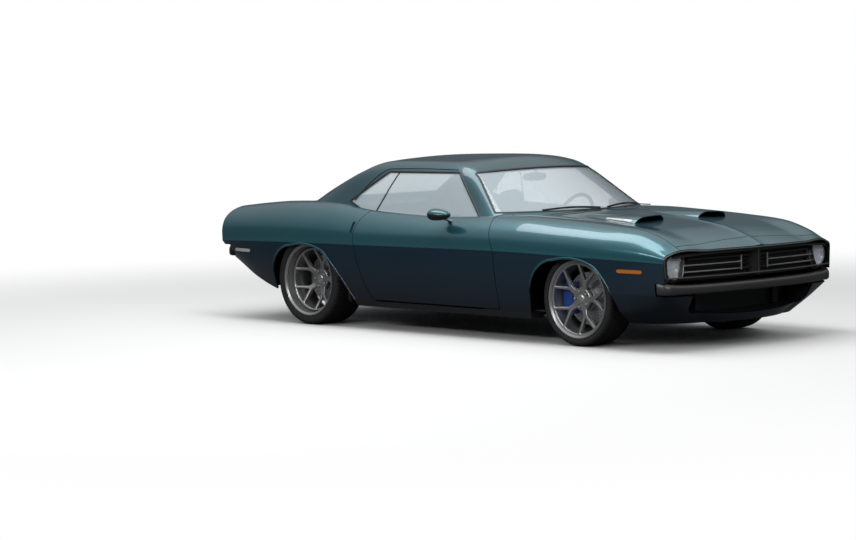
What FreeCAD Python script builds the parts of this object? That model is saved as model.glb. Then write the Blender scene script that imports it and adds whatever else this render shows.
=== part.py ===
"""Two-door fastback muscle car with a long bonnet, short deck and Y-spoke wheels.

Frame: +X points to the front of the car, +Y to its left, +Z up. The origin lies on the ground, on the
centreline, half-way along the car. All lengths are in millimetres.
"""

import FreeCAD, Part
import math
import os
import Sketcher
from FreeCAD import Placement, Rotation, Vector

# ---------------------------------------------------------------- driving dimensions
SIZES = {
    # running gear
    "wheelbase": 2743, "front_overhang": 942, "rear_overhang": 1057,
    "front_tyre_radius": 324, "rear_tyre_radius": 337,
    "front_tyre_width": 250, "rear_tyre_width": 292,
    "front_wheel_face": 868, "rear_wheel_face": 906,      # outer lip's distance from the centreline
    "rim_lip_radius": 270, "bead_seat_radius": 256, "barrel_wall": 8,
    "front_dish_edge": 16, "front_dish_hub": 48, "rear_dish_edge": 62, "rear_dish_hub": 128,
    "spoke_depth": 26, "spoke_arm_width": 20, "spoke_stem_width": 38, "fork_radius": 112,
    "hub_radius": 74, "cap_radius": 32, "lug_circle": 57.15, "lug_radius": 10,
    "disc_radius": 182, "disc_depth": 30, "disc_setback": 92, "caliper_reach": 208,
    "kingpin_y": 640, "axle_tube_radius": 42, "diff_radius": 122, "shaft_radius": 38, "coil_radius": 44,
    # walls and gaps
    "skin": 14, "top_skin": 22, "door_depth": 112, "panel_gap": 5,
    "arch_lip": 4, "arch_lip_width": 16, "seat_gap": 0.4,
    "pillar_wall": 32, "glass_depth": 6, "glass_inset": 7, "aperture_wall": 20,
    # body heights and widths
    "floor_height": 196, "floor_plate": 20, "rear_floor_height": 480, "roof_height": 1268,
    "hood_half_width": 742, "deck_half_width": 640, "bumper_height": 84, "bumper_depth": 60,
    "bumper_z": 420, "rear_bumper_z": 520, "tunnel_half_width": 125, "tunnel_height": 400,
    "steering_wheel_radius": 180, "seat_width": 500, "lamp_radius": 89, "lamp_y": 752, "lamp_z": 570,
    "exhaust_radius": 30, "muffler_radius": 62, "mirror_length": 165, "ridge_height": 8, "ridge_half_width": 90,
}

doc = FreeCAD.newDocument("muscle_car")
sheet = doc.addObject("Spreadsheet::Sheet", "dims")
for row, (alias, number) in enumerate(SIZES.items(), start=1):
    sheet.set("A%d" % row, alias)
    sheet.set("B%d" % row, str(number))
    sheet.setAlias("B%d" % row, alias)
doc.recompute()


class Size:
    """A number together with the sheet expression that gives it."""

    def __init__(self, value, text):
        self.value, self.text = float(value), text

    def _join(self, other, sign, result):
        other_text = other.text if isinstance(other, Size) else repr(float(other))
        return Size(result, "(%s %s %s)" % (self.text, sign, other_text))

    def __add__(self, other):
        return self._join(other, "+", self.value + number(other))

    def __sub__(self, other):
        return self._join(other, "-", self.value - number(other))

    def __mul__(self, other):
        return self._join(other, "*", self.value * number(other))

    def __truediv__(self, other):
        return self._join(other, "/", self.value / number(other))

    def __neg__(self):
        return Size(-self.value, "(0 - %s)" % self.text)


def number(value):
    return value.value if isinstance(value, Size) else float(value)


def dim(alias):
    """The named size as a Size, read from the sheet."""
    return Size(sheet.get(alias), "dims.%s" % alias)


def mm(alias):
    """The named size as a plain number of millimetres."""
    return float(sheet.get(alias))


front_axle = (dim("wheelbase") + dim("rear_overhang") - dim("front_overhang")) / 2
rear_axle = front_axle - dim("wheelbase")
FRONT, REAR = front_axle.value, rear_axle.value
NODES = {}


def bind(thing, **sizes):
    """Sets each property of an object from a Size, with its expression."""
    for name, size in sizes.items():
        if isinstance(size, Size):
            thing.setExpression(name, size.text)
        else:
            setattr(thing, name, size)
    return thing


def place(thing, x=0, y=0, z=0, rotation=None):
    """Places an object at sizes x, y and z."""
    thing.Placement = Placement(Vector(number(x), number(y), number(z)), rotation or Rotation())
    for axis, size in (("x", x), ("y", y), ("z", z)):
        if isinstance(size, Size):
            thing.setExpression("Placement.Base.%s" % axis, size.text)
    return thing


def node(name, thing):
    """Registers an object as the named sub-part."""
    thing.Label = name
    NODES[name] = thing
    return thing


def feature(name, shape):
    """A sub-part whose shape is made by Part's own functions."""
    thing = doc.addObject("Part::Feature", name)
    thing.Shape = shape
    return node(name, thing)


def mirrored(name, source):
    """A sub-part that is another one's mirror image across the centreline."""
    thing = doc.addObject("Part::Mirroring", name)
    thing.Source = source
    thing.Normal = Vector(0, 1, 0)
    return node(name, thing)


def pair(stem, shape):
    """Right sub-part from a shape on the -Y side, and its mirror image on the left."""
    right = feature(stem + "_right", shape)
    mirrored(stem + "_left", right)


# ---------------------------------------------------------------- sketches in a PartDesign body
def plane(body, role):
    return [f for f in body.Origin.OriginFeatures if f.Role == role][0]


def polygon_sketch(body, name, role, corners):
    """A closed polygon in a body's origin plane; each corner is a pair of Sizes from the plane's origin."""
    sketch = body.newObject("Sketcher::SketchObject", name)
    sketch.AttachmentSupport = [(plane(body, role), "")]
    sketch.MapMode = "FlatFace"
    points = [Vector(number(u), number(v), 0) for u, v in corners]
    count = len(points)
    for i in range(count):
        sketch.addGeometry(Part.LineSegment(points[i], points[(i + 1) % count]), False)
    for i in range(count):
        sketch.addConstraint(Sketcher.Constraint("Coincident", i, 2, (i + 1) % count, 1))
    for i, (u, v) in enumerate(corners):
        for kind, size in (("DistanceX", u), ("DistanceY", v)):
            index = sketch.addConstraint(Sketcher.Constraint(kind, -1, 1, i, 1, number(size)))
            if isinstance(size, Size):
                sketch.setExpression("Constraints[%d]" % index, size.text)
    return sketch


HEXAGON = [math.radians(60 * i) for i in range(6)]


def polar(radius, degrees):
    """A corner at a radius and an angle."""
    a = math.radians(degrees)
    return radius * math.cos(a), radius * math.sin(a)


# ---------------------------------------------------------------- wheels, tyres and brakes
def tyre_body(name, radius, width):
    """A low-profile tyre about its own Z axis; z = 0 is the rim's outer lip plane."""
    body = doc.addObject("PartDesign::Body", name)
    seat, lip = dim("bead_seat_radius"), dim("rim_lip_radius")
    inner = -(width - 10)                                  # the inner lip's plane
    shoulder = radius - 4
    profile = [
        (seat, Size(-16, "0 - 16")), (lip + 2, Size(-9.5, "0 - 9.5")), (lip + 4, Size(1, "1")),
        (lip + 20, Size(5, "5")), (radius - 16, Size(3, "3")), (shoulder, Size(-10, "0 - 10")),
        (radius, Size(-26, "0 - 26")), (radius, inner + 26), (shoulder, inner + 10), (radius - 16, inner - 3),
        (lip + 20, inner - 5), (lip + 4, inner - 1), (lip + 2, inner + 9.5), (seat, inner + 16),
        (seat, inner + 30), (lip + 6, inner + 18), (radius - 16, inner + 30),
        (radius - 16, Size(-30, "0 - 30")), (lip + 6, Size(-18, "0 - 18")), (seat, Size(-30, "0 - 30")),
    ]
    sketch = polygon_sketch(body, name + "_section", "XZ_Plane", profile)
    turn = body.newObject("PartDesign::Revolution", name + "_turn")
    turn.Profile = sketch
    turn.ReferenceAxis = (sketch, ["V_Axis"])
    turn.Angle = 360.0
    body.Tip = turn
    return body


def rim_body(name, width, edge, hub):
    """A Y-spoke wheel about its own Z axis: a turned barrel and dished face with windows cut through it."""
    body = doc.addObject("PartDesign::Body", name)
    lip, seat, wall = dim("rim_lip_radius"), dim("bead_seat_radius"), dim("barrel_wall")
    inner = -(width - 10)
    bore = seat - wall
    drop = seat - 18
    barrel = [
        (lip, Size(0, "0")), (lip, Size(-8, "0 - 8")), (seat, Size(-14, "0 - 14")), (seat, Size(-60, "0 - 60")),
        (drop, Size(-90, "0 - 90")), (drop, inner + 90), (seat, inner + 60), (seat, inner + 14),
        (lip, inner + 8), (lip, inner), (lip - 8, inner), (bore, inner + 14), (bore, inner + 60),
        (drop - wall, inner + 90), (drop - wall, Size(-90, "0 - 90")), (bore, Size(-60, "0 - 60")),
        (bore, Size(-14, "0 - 14")), (lip - 8, Size(0, "0")),
    ]
    sketch = polygon_sketch(body, name + "_barrel", "XZ_Plane", barrel)
    turn = body.newObject("PartDesign::Revolution", name + "_barrel_turn")
    turn.Profile = sketch
    turn.ReferenceAxis = (sketch, ["V_Axis"])
    turn.Angle = 360.0
    depth, pad, cap = dim("spoke_depth"), dim("hub_radius"), dim("cap_radius")
    reach = bore + 2
    if number(edge) + number(depth) / 2 > 60:
        reach = drop - wall + 3
    face = [
        (Size(0, "0"), -hub + 10), (cap, -hub + 10), (cap, -hub), (pad, -hub), (reach, -edge),
        (reach, -(edge + depth)), (pad + 8, -(hub + depth + 8)), (Size(0, "0"), -(hub + depth + 8)),
    ]
    sketch = polygon_sketch(body, name + "_face", "XZ_Plane", face)
    turn = body.newObject("PartDesign::Revolution", name + "_face_turn")
    turn.Profile = sketch
    turn.ReferenceAxis = (sketch, ["V_Axis"])
    turn.Angle = 360.0
    fork, arm, stem = dim("fork_radius"), dim("spoke_arm_width") / 2, dim("spoke_stem_width") / 2
    tip = bore - 12 if number(edge) < 40 else drop - wall - 8
    lean = math.radians(32)                                # an arm's angle from its stem
    margin = math.degrees(arm.value / tip.value)
    fork_window = [
        (fork + arm / math.sin(lean) + 4, Size(0, "0")),
        polar(tip, 18 - margin), polar(tip, 9), polar(tip, 0), polar(tip, -9), polar(tip, -18 + margin),
    ]
    notch = (stem - arm * math.cos(lean)) / math.sin(lean)
    throat = fork - arm * math.sin(lean) + notch * math.cos(lean)
    side_window = [
        (throat, stem), (pad * 1.04, stem * 1.1), polar(pad * 1.06, 36),
        turned((pad * 1.04, -(stem * 1.1)), 72), turned((throat, -stem), 72),
        polar(tip, 54 - margin), polar(tip, 45), polar(tip, 36), polar(tip, 27), polar(tip, 18 + margin),
    ]
    for label, corners in (("fork", fork_window), ("side", side_window)):
        outline = polygon_sketch(body, "%s_%s_window" % (name, label), "XY_Plane", corners)
        cut = body.newObject("PartDesign::Pocket", "%s_%s_cut" % (name, label))
        cut.Profile = outline
        cut.Midplane = True
        bind(cut, Length=(hub + depth + 20) * 2)
        around = body.newObject("PartDesign::PolarPattern", "%s_%s_pattern" % (name, label))
        around.Originals = [cut]
        around.Axis = (outline, ["N_Axis"])
        around.Angle = 360.0
        around.Occurrences = 5
        body.Tip = around
    nut = dim("lug_radius")
    corners = [(nut * math.cos(a) + dim("lug_circle"), nut * math.sin(a)) for a in HEXAGON]
    outline = polygon_sketch(body, name + "_nut", "XY_Plane", corners)
    outline.AttachmentOffset = Placement(Vector(0, 0, -number(hub) - 2), Rotation())
    outline.setExpression("AttachmentOffset.Base.z", (-hub - 2).text)
    lug = body.newObject("PartDesign::Pad", name + "_lug")
    lug.Profile = outline
    lug.Length = 18
    around = body.newObject("PartDesign::PolarPattern", name + "_lugs")
    around.Originals = [lug]
    around.Axis = (outline, ["N_Axis"])
    around.Angle = 360.0
    around.Occurrences = 5
    body.Tip = around
    return body


def turned(corner, degrees):
    """A corner turned about the origin."""
    c, s = math.cos(math.radians(degrees)), math.sin(math.radians(degrees))
    u, v = corner
    return u * c - v * s, u * s + v * c


def disc_body(name, hub):
    """A ventilated brake disc with its bell, about its own Z axis, behind the wheel's hub pad."""
    body = doc.addObject("PartDesign::Body", name)
    back = -(hub + dim("spoke_depth") + 8)                 # the hub pad's back face
    outer, bell, depth = dim("disc_radius"), dim("hub_radius") + 16, dim("disc_depth")
    step = back - 34
    profile = [
        (Size(0, "0"), back), (bell, back), (bell, step), (outer, step), (outer, step - depth),
        (bell - 12, step - depth), (bell - 12, back - 10), (Size(0, "0"), back - 10),
    ]
    sketch = polygon_sketch(body, name + "_section", "XZ_Plane", profile)
    turn = body.newObject("PartDesign::Revolution", name + "_turn")
    turn.Profile = sketch
    turn.ReferenceAxis = (sketch, ["V_Axis"])
    turn.Angle = 360.0
    body.Tip = turn
    return body


OUTBOARD = Rotation(Vector(1, 0, 0), 90)                   # turns a wheel's +Z to -Y, outboard on the right
WHEELS = {
    # corner: axle x, tyre radius, tyre width, outer face, dish at the edge, dish at the hub
    "front": (front_axle, dim("front_tyre_radius"), dim("front_tyre_width"), dim("front_wheel_face"),
              dim("front_dish_edge"), dim("front_dish_hub")),
    "rear": (rear_axle, dim("rear_tyre_radius"), dim("rear_tyre_width"), dim("rear_wheel_face"),
             dim("rear_dish_edge"), dim("rear_dish_hub")),
}
for end, (axle, radius, width, face, edge, hub) in WHEELS.items():
    for stem, body in (
        ("tyre", tyre_body("tyre_%s" % end, radius, width)),
        ("rim", rim_body("rim_%s" % end, width, edge, hub)),
        ("disc", disc_body("disc_%s" % end, hub)),
    ):
        place(body, axle, -face, radius, OUTBOARD)
        node("%s_%s_right" % (stem, end), body)
        mirrored("%s_%s_left" % (stem, end), body)
doc.recompute()


# ---------------------------------------------------------------- outlines, prisms and bars
def wire(points):
    """A closed wire of straight edges through 3-D points."""
    return Part.makePolygon([Vector(*p) for p in points] + [Vector(*points[0])])


def outline(start, *steps):
    """A closed planar wire; a step is an end point, or a pair (middle point, end point) for an arc."""
    edges, here = [], Vector(*start)
    for step in steps:
        if isinstance(step[0], tuple):
            middle, end = Vector(*step[0]), Vector(*step[1])
            edges.append(Part.Arc(here, middle, end).toShape())
        else:
            end = Vector(*step)
            edges.append(Part.makeLine(here, end))
        here = end
    if here.distanceToPoint(Vector(*start)) > 0.001:
        edges.append(Part.makeLine(here, Vector(*start)))
    return Part.Wire(edges)


def prism(closed_wire, along):
    """The solid swept by a planar closed wire along a vector."""
    return Part.Face(closed_wire).extrude(Vector(*along))


def slab(x0, x1, y0, y1, z0, z1):
    """A box between six planes."""
    return Part.makeBox(x1 - x0, y1 - y0, z1 - z0, Vector(x0, y0, z0))


def side_prism(closed_wire, y0=-1100.0, y1=1100.0):
    """A prism across the car from a wire drawn at y = 0 in the XZ plane."""
    moved = closed_wire.copy()
    moved.translate(Vector(0, y0, 0))
    return prism(moved, (0, y1 - y0, 0))


def rod(start, end, radius):
    """A round bar from one point to another."""
    a, b = Vector(*start), Vector(*end)
    return Part.makeCylinder(radius, a.distanceToPoint(b), a, b - a)


def bent_bar(points, radius, bend):
    """A round bar along straight runs that tangent arcs join."""
    corners = [Vector(*p) for p in points]
    edges, here = [], corners[0]
    for before, corner, after in zip(corners, corners[1:], corners[2:]):
        into, out = (corner - before).normalize(), (after - corner).normalize()
        half = into.getAngle(out) / 2
        reach = bend * math.tan(half)
        a, b = corner - into * reach, corner + out * reach
        towards = (out - into).normalize()
        middle = corner + towards * (bend / math.cos(half) - bend)
        edges.append(Part.makeLine(here, a))
        edges.append(Part.Arc(a, middle, b).toShape())
        here = b
    edges.append(Part.makeLine(here, corners[-1]))
    path = Part.Wire(edges)
    ring = Part.Wire([Part.Circle(corners[0], corners[1] - corners[0], radius).toShape()])
    return path.makePipeShell([ring], True, True)


def fused(*shapes):
    """One solid from several that share faces or overlap."""
    return shapes[0].multiFuse(list(shapes[1:])).removeSplitter()


# ---------------------------------------------------------------- lower body: the hull
# One row per cross-section. dx is measured from the axle named first. y and z give the outline of one side:
# sill edge, side bulge, crease line, waist, shoulder, and the height on the centreline.
F, R = FRONT, REAR
HULL = [
    # axle dx    sill_y _z  bulge_y _z  crease_y _z  waist_y _z  shoulder_y _z  centre_z
    (F,   980,   750, 205,   826, 400,   858, 592,   850, 620,   818, 636,   652),
    (F,   830,   800, 205,   862, 400,   884, 600,   878, 640,   834, 664,   720),
    (F,   700,   845, 200,   888, 400,   900, 606,   892, 666,   832, 720,   766),
    (F,   500,   888, 190,   912, 400,   917, 611,   907, 688,   828, 776,   812),
    (F,   200,   905, 180,   930, 400,   935, 618,   922, 705,   818, 808,   842),
    (F,  -200,   905, 172,   935, 400,   944, 626,   928, 715,   812, 832,   864),
    (F,  -590,   905, 172,   938, 400,   949, 633,   930, 724,   820, 843,   882),
    (F,  -860,   905, 172,   938, 400,   949, 633,   930, 724,   822, 843,   872),
    (F, -1400,   905, 172,   938, 400,   948, 630,   926, 722,   816, 835,   836),
    (R,   693,   905, 172,   938, 400,   949, 624,   926, 720,   816, 850,   851),
    (R,   440,   903, 172,   936, 400,   950, 622,   929, 724,   814, 868,   869),
    (R,   150,   900, 180,   938, 400,   951, 620,   930, 730,   805, 890,   893),
    (R,  -150,   890, 205,   935, 400,   949, 617,   925, 733,   796, 893,   905),
    (R,  -400,   870, 252,   922, 420,   939, 612,   915, 730,   788, 886,   903),
    (R,  -650,   850, 332,   900, 450,   922, 606,   900, 722,   780, 868,   888),
    (R,  -850,   830, 425,   880, 500,   904, 600,   885, 712,   772, 850,   867),
    (R, -1000,   820, 500,   862, 545,   888, 596,   872, 700,   765, 834,   850),
    (R, -1070,   814, 535,   853, 562,   879, 594,   864, 690,   760, 826,   840),
]


def hull(side=0.0, top=0.0, under=0.0):
    """The lower body as a solid, its sides moved in by side, its top lowered by top and its foot by under.

    A section has three arcs a side: sill to crease, crease to shoulder, and over the top to the other shoulder."""
    wires = []
    for axle, dx, *p in HULL:
        sill, bulge, crease, waist, shoulder = zip(p[0:10:2], p[1:10:2])
        right = [(sill[0] - side, sill[1]), (bulge[0] - side, bulge[1]), (crease[0] - side, crease[1])]
        right += [(waist[0] - side, waist[1]), (shoulder[0] - side, shoulder[1] - top)]
        a, b, c, d, e = [Vector(axle + dx, -y, z) for y, z in right]
        left_a, left_b, left_c, left_d, left_e = [Vector(v.x, -v.y, v.z) for v in (a, b, c, d, e)]
        crown = Vector(axle + dx, 0, p[10] - top)
        foot, left_foot = a - Vector(0, 0, under), left_a - Vector(0, 0, under)
        edges = [Part.Arc(a, b, c).toShape(), Part.Arc(c, d, e).toShape(), Part.Arc(e, crown, left_e).toShape()]
        edges += [Part.Arc(left_e, left_d, left_c).toShape(), Part.Arc(left_c, left_b, left_a).toShape()]
        if under:
            edges += [Part.makeLine(left_a, left_foot), Part.makeLine(left_foot, foot), Part.makeLine(foot, a)]
        else:
            edges.append(Part.makeLine(left_a, a))
        wires.append(Part.Wire(edges))
    return Part.makeLoft(wires, True, True)


nose_tip = FRONT + 916.0
nose_corner = FRONT + 822.0
tail_edge = REAR - 1052.0
nose_plan = outline(
    (REAR - 1200, -1000, 0), (nose_corner - 8, -1000, 0), (nose_corner, -838, 0),
    ((nose_tip, 0, 0), (nose_corner, 838, 0)), (nose_corner - 8, 1000, 0), (REAR - 1200, 1000, 0),
)
nose_block = prism(nose_plan, (0, 0, 1200))
tail_side = outline(
    (FRONT + 1100, 0, 0), (FRONT + 1100, 0, 1200), (REAR - 905, 0, 1200), (REAR - 982, 0, 850),
    ((REAR - 1040, 0, 800), (tail_edge, 0, 748)), (REAR - 1021, 0, 597), (REAR - 950, 0, 470),
    (REAR - 950, 0, 0),
)
tail_block = side_prism(tail_side)
skin, top_skin, gap = mm("skin"), mm("top_skin"), mm("panel_gap")
body_solid = hull().common(nose_block).common(tail_block)
body_skin = body_solid.cut(hull(skin, top_skin, 120.0))


ARCH_EDGE = {FRONT: ((330, 440), (398, 300), (405, 120)), REAR: ((395, 380), (590, 120), (600, 110))}


def arch_outline(axle):
    """The wheel opening in side view: upright behind, round over the tyre, and down its front edge."""
    middle, low, foot = [(axle + dx, 0, z) for dx, z in ARCH_EDGE[axle]]
    return outline(
        (axle - 402, 0, foot[2]), (axle - 388, 0, 330), ((axle - 300, 0, 540), (axle - 150, 0, 594)),
        ((axle + 40, 0, 608), (axle + 225, 0, 556)), (middle, low), foot,
    )


arches = [side_prism(arch_outline(axle), -1000.0, -560.0) for axle in (FRONT, REAR)]
both_arches = arches + [arch.mirror(Vector(), Vector(0, 1, 0)) for arch in arches]
lip, lip_width = mm("arch_lip"), mm("arch_lip_width")
lip_layer = hull(-lip).cut(hull(lip, 0.0, 120.0))


def arch_lip(axle, low):
    """The raised rim round a wheel opening on the right, above a height."""
    grown = side_prism(arch_outline(axle).makeOffset2D(lip_width), -1000.0, -560.0)
    ring = grown.cut(arches[0 if axle == FRONT else 1])
    return lip_layer.common(ring).common(slab(axle - 600, axle + 600, -1000, 0, low, 900))


def door_outline():
    """The right door's cut line in side view, from its sloping front edge round to its long curved rear edge."""
    return outline(
        (FRONT - 700, 0, 226), (FRONT - 735, 0, 634), (FRONT - 852, 0, 850), (FRONT - 852, 0, 960),
        (REAR + 606, 0, 960), (REAR + 606, 0, 868), ((REAR + 549, 0, 740), (REAR + 573, 0, 600)),
        ((REAR + 624, 0, 420), (REAR + 730, 0, 238)), (REAR + 742, 0, 226),
    )


def door_prism(grow):
    """The door's outline, grown all round, across the right side of the car."""
    shape = door_outline() if grow == 0 else door_outline().makeOffset2D(grow)
    return side_prism(shape, -1000.0, -400.0)


# ---------------------------------------------------------------- greenhouse: pillars, roof and glass
BELT, CROWN_TOP = 824.0, 1300.0


def cabin_outline(z, inset):
    """The greenhouse's outline at a height: bowed windscreen, two flat sides and a straight back."""
    up = z - 868.0
    nose = (FRONT - 868 - 1.27 * up - inset * 1.1, 777 - 0.584 * up - inset)
    middle = FRONT - 587 - 1.653 * up - inset * 1.9
    side = [(FRONT - 1450, 775 - 0.50 * up - inset), (REAR + 590, 777 - 0.49 * up - inset)]
    tail = (REAR - 362 + 2.26 * up + inset * 2.3, 724 - 0.46 * up - inset)
    back = REAR - 300 + 2.02 * up + inset * 2.2
    right = [nose, *side, tail]
    edges = [Part.Arc(Vector(nose[0], nose[1], z), Vector(middle, 0, z), Vector(nose[0], -nose[1], z)).toShape()]
    run = [(x, -y) for x, y in right] + [(back, 0)] + [(x, y) for x, y in reversed(right)]
    edges += [Part.makeLine(Vector(*a, z), Vector(*b, z)) for a, b in zip(run, run[1:])]
    return Part.Wire(edges)


ROOF_Y = (0, 450, 560, 620, 700)                          # half-widths where the roof's falls are given
ROOF = [
    # axle dx     falls below the roof's top at those half-widths
    (F,  -520,     6,  48,  78, 120, 210),
    (F, -1245,     2,  42,  71, 112, 200),
    (F, -1480,     0,  32,  58, 100, 190),
    (F, -1760,     4,  32,  56,  98, 190),
    (R,   740,    10,  34,  56,  98, 190),
    (R,   500,    22,  40,  58,  96, 190),
    (R,   385,    36,  50,  68, 100, 190),
    (R,   290,    60,  76,  98, 118, 200),
    (R,   160,   110, 128, 150, 168, 240),
    (R,    -5,   190, 208, 228, 244, 300),
    (R,  -210,   298, 318, 336, 350, 390),
    (R,  -450,   400, 410, 420, 430, 450),
]


def greenhouse(inset):
    """The closed cabin above the belt line: sloping sides under a crowned roof, all moved in by inset.

    A roof section is one arc over the top and a tighter arc at each side, then straight down past the gutter."""
    sides = Part.makeLoft([cabin_outline(BELT, inset), cabin_outline(CROWN_TOP, inset)], True, True)
    wires = []
    for axle, dx, *falls in ROOF:
        top = mm("roof_height") - inset
        x = axle + dx
        crown, edge, bend, gutter, drip = [(x, y, top - fall) for y, fall in zip(ROOF_Y, falls)]
        far = (x, drip[1] + 300, drip[2] - 300)
        foot = (x, far[1], 500)
        left = [(x, -q[1], q[2]) for q in (foot, far, drip, gutter, bend, edge)]
        wires.append(outline(
            left[0], left[1], left[2], left[3], (left[4], left[5]), (crown, edge), (bend, gutter), drip, far, foot,
        ))
    return sides.common(Part.makeLoft(wires, True, True))


seat = mm("seat_gap")
cabin = greenhouse(0.0)
cabin_shell = cabin.cut(greenhouse(mm("pillar_wall")))
inset = mm("glass_inset")
pane_shell = greenhouse(inset).cut(greenhouse(inset + mm("glass_depth")))


def shrink(closed_wire, clearance):
    return closed_wire.makeOffset2D(-clearance) if clearance else closed_wire


def screen_prism(clearance):
    """The windscreen's outline in front view, swept back through the windscreen only."""
    shape = outline(
        (FRONT - 560, -748, 886), (FRONT - 560, -606, 1128), ((FRONT - 560, -592, 1152), (FRONT - 560, -560, 1162)),
        ((FRONT - 560, 0, 1182), (FRONT - 560, 560, 1162)), ((FRONT - 560, 592, 1152), (FRONT - 560, 606, 1128)),
        (FRONT - 560, 748, 886),
    )
    return prism(shrink(shape, clearance), (-800, 0, 0))


def back_prism(clearance):
    """The rear window's outline in rear view, swept forward through the rear window only."""
    shape = outline(
        (REAR - 520, -600, 935), (REAR - 520, -505, 1150), ((REAR - 520, -490, 1176), (REAR - 520, -460, 1184)),
        (REAR - 520, 460, 1184), ((REAR - 520, 490, 1176), (REAR - 520, 505, 1150)), (REAR - 520, 600, 935),
    )
    return prism(shrink(shape, clearance), (940, 0, 0))


glass_split_low, glass_split_top = REAR + 622.0, REAR + 733.0


side_window = outline(
    (FRONT - 970, 0, BELT - 8), (FRONT - 1388, 0, 1158), (REAR + 625, 0, 1152), (REAR + 308, 0, 930),
    ((REAR + 440, 0, 884), (glass_split_low - 20, 0, BELT - 8)),
)


def beside_split(offset, reach):
    """The region on one side of the line between door glass and quarter glass, offset from it."""
    low, top = glass_split_low + offset, glass_split_top + offset
    slope = (glass_split_top - glass_split_low) / (1146 - BELT)
    low, top = low - slope * 124, top + slope * 254
    return side_prism(wire([(low, 0, 700), (low + reach, 0, 700), (top + reach, 0, 1400), (top, 0, 1400)]), -1000.0, 0.0)


roof_shell = cabin_shell.cut(screen_prism(0)).cut(back_prism(0)).cut(side_prism(side_window))
roof_shell = roof_shell.cut(body_solid.common(slab(REAR - 1200, REAR + 600, -1000, 1000, 0, 1200)))
roof_shell = roof_shell.cut(body_solid.common(slab(FRONT - 1000, FRONT, -700, 700, 0, 1200)))
roof_shell = roof_shell.common(slab(REAR - 1200, FRONT, -1000, 1000, 836, 1400))
feature("roof", roof_shell)
feature("windscreen", pane_shell.common(screen_prism(1)))
feature("rear_window", pane_shell.common(back_prism(1)))
glass_side = pane_shell.common(slab(REAR, FRONT, -1000, -400, 0, 1400)).cut(hull(0.0, -seat))
door_glass = glass_side.common(side_prism(shrink(side_window, 6.0))).common(beside_split(4.0, 1400.0))
quarter_glass = glass_side.common(side_prism(shrink(side_window, seat))).common(beside_split(-4.0, -900.0))
pair("door_glass", door_glass)
both_quarters = [quarter_glass, quarter_glass.mirror(Vector(), Vector(0, 1, 0))]
feature("quarter_glass", Part.makeCompound(both_quarters))

# ---------------------------------------------------------------- outer panels
hood_rear_side, hood_rear_middle = FRONT - 742.0, FRONT - 520.0
half_hood, half_deck = mm("hood_half_width"), mm("deck_half_width")


def hood_prism(grow):
    """The bonnet's outline in plan, grown at its sides and back."""
    w, back, mid = half_hood + grow, hood_rear_side - grow, hood_rear_middle - grow
    shape = outline(
        (back, -w, 0), (FRONT + 1200, -w, 0), (FRONT + 1200, w, 0), (back, w, 0), ((mid, 0, 0), (back, -w, 0)),
    )
    return prism(shape, (0, 0, 1200))


def deck_prism(grow):
    """The boot lid's outline in plan, grown all round."""
    return slab(REAR - 958 - grow, REAR - 338 + grow, -half_deck - grow, half_deck + grow, 700, 1200)


nose_floor = 384.0                                         # height where the fenders end and the valance starts
wrap_x = FRONT + 735.0                                     # the front bumper's ends reach back to here
bumper_top = mm("bumper_z") + mm("bumper_height") / 2 + gap
bumper_foot = mm("bumper_z") - mm("bumper_height") / 2 - gap
front_of_door = slab(FRONT - 900, FRONT + 1200, -1000, 1000, 0, 1200)
top_only = slab(REAR - 1200, FRONT + 1200, -1000, 1000, 640, 1200)
nose_seam = FRONT + 800.0
ridge_rise, ridge_half = mm("ridge_height"), mm("ridge_half_width")
ridge_wires = []
for axle, dx, *p in HULL:
    if axle + dx > FRONT - 600:
        crown = p[10]
        corners = [(-ridge_half, crown - 8), (0, crown + ridge_rise), (ridge_half, crown - 8)]
        ridge_wires.append(wire([(axle + dx, y, z) for y, z in corners]))
ridge = Part.makeLoft(ridge_wires, True, True).common(nose_block)
nose_zone = slab(nose_seam, FRONT + 1200, -half_hood, half_hood, 640, 1200)
feature("nose_panel", fused(body_skin.common(nose_zone), ridge.common(nose_zone)))
hood_zone = hood_prism(0).common(top_only).common(slab(FRONT - 900, nose_seam - gap, -1000, 1000, 600, 1200))
hood_skin = body_skin.common(hood_zone)
hinge_hull = hull(skin, top_skin + 14, 120.0)
hinge_layer = hull(skin, top_skin + seat, 0.0).cut(hinge_hull)
hinge_joiner = hull(skin, top_skin - 1, 0.0).cut(hinge_hull)
scoop_y, scoop_rear, scoop_mouth = 330.0, FRONT - 430.0, FRONT + 190.0
SCOOP = [
    # x               half-width  shoulder_z  corner_y corner_z  top_y  top_z  middle_z
    (scoop_rear,       60,         850,        58,      858,      48,    860,   862),
    (FRONT - 120.0,    110,        858,        106,     870,      92,    875,   878),
    (scoop_mouth,      152,        842,        146,     868,      124,   877,   884),
]


def scoop_section(x, y, p, wall):
    """A scoop's outline across the car: upright sides, rounded shoulders and a low arch on top."""
    half, shoulder, corner_y, corner_z, top_y, top_z, crown = [q - wall for q in p]
    floor = 780.0 if wall == 0 else shoulder - 20
    return outline(
        (x, y - half, floor), (x, y - half, shoulder), ((x, y - corner_y, corner_z), (x, y - top_y, top_z)),
        ((x, y, crown), (x, y + top_y, top_z)), ((x, y + corner_y, corner_z), (x, y + half, shoulder)),
        (x, y + half, floor),
    )


scoops = []
for y in (-scoop_y, scoop_y):
    block = Part.makeLoft([scoop_section(x, y, p, 0) for x, *p in SCOOP], True, True)
    hollow = Part.makeLoft([scoop_section(x, y, p, 8) for x, *p in SCOOP], True, True)
    hollow = hollow.common(slab(scoop_mouth - 150, scoop_mouth + 1, -700, 700, 0, 1200)).cut(hull(0.0, -4.0))
    scoops.append(block.cut(hull(skin, top_skin, 120.0)).cut(hollow))
hood_skin = fused(hood_skin, *scoops, ridge.common(hood_zone))
feature("hood", hood_skin)

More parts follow.
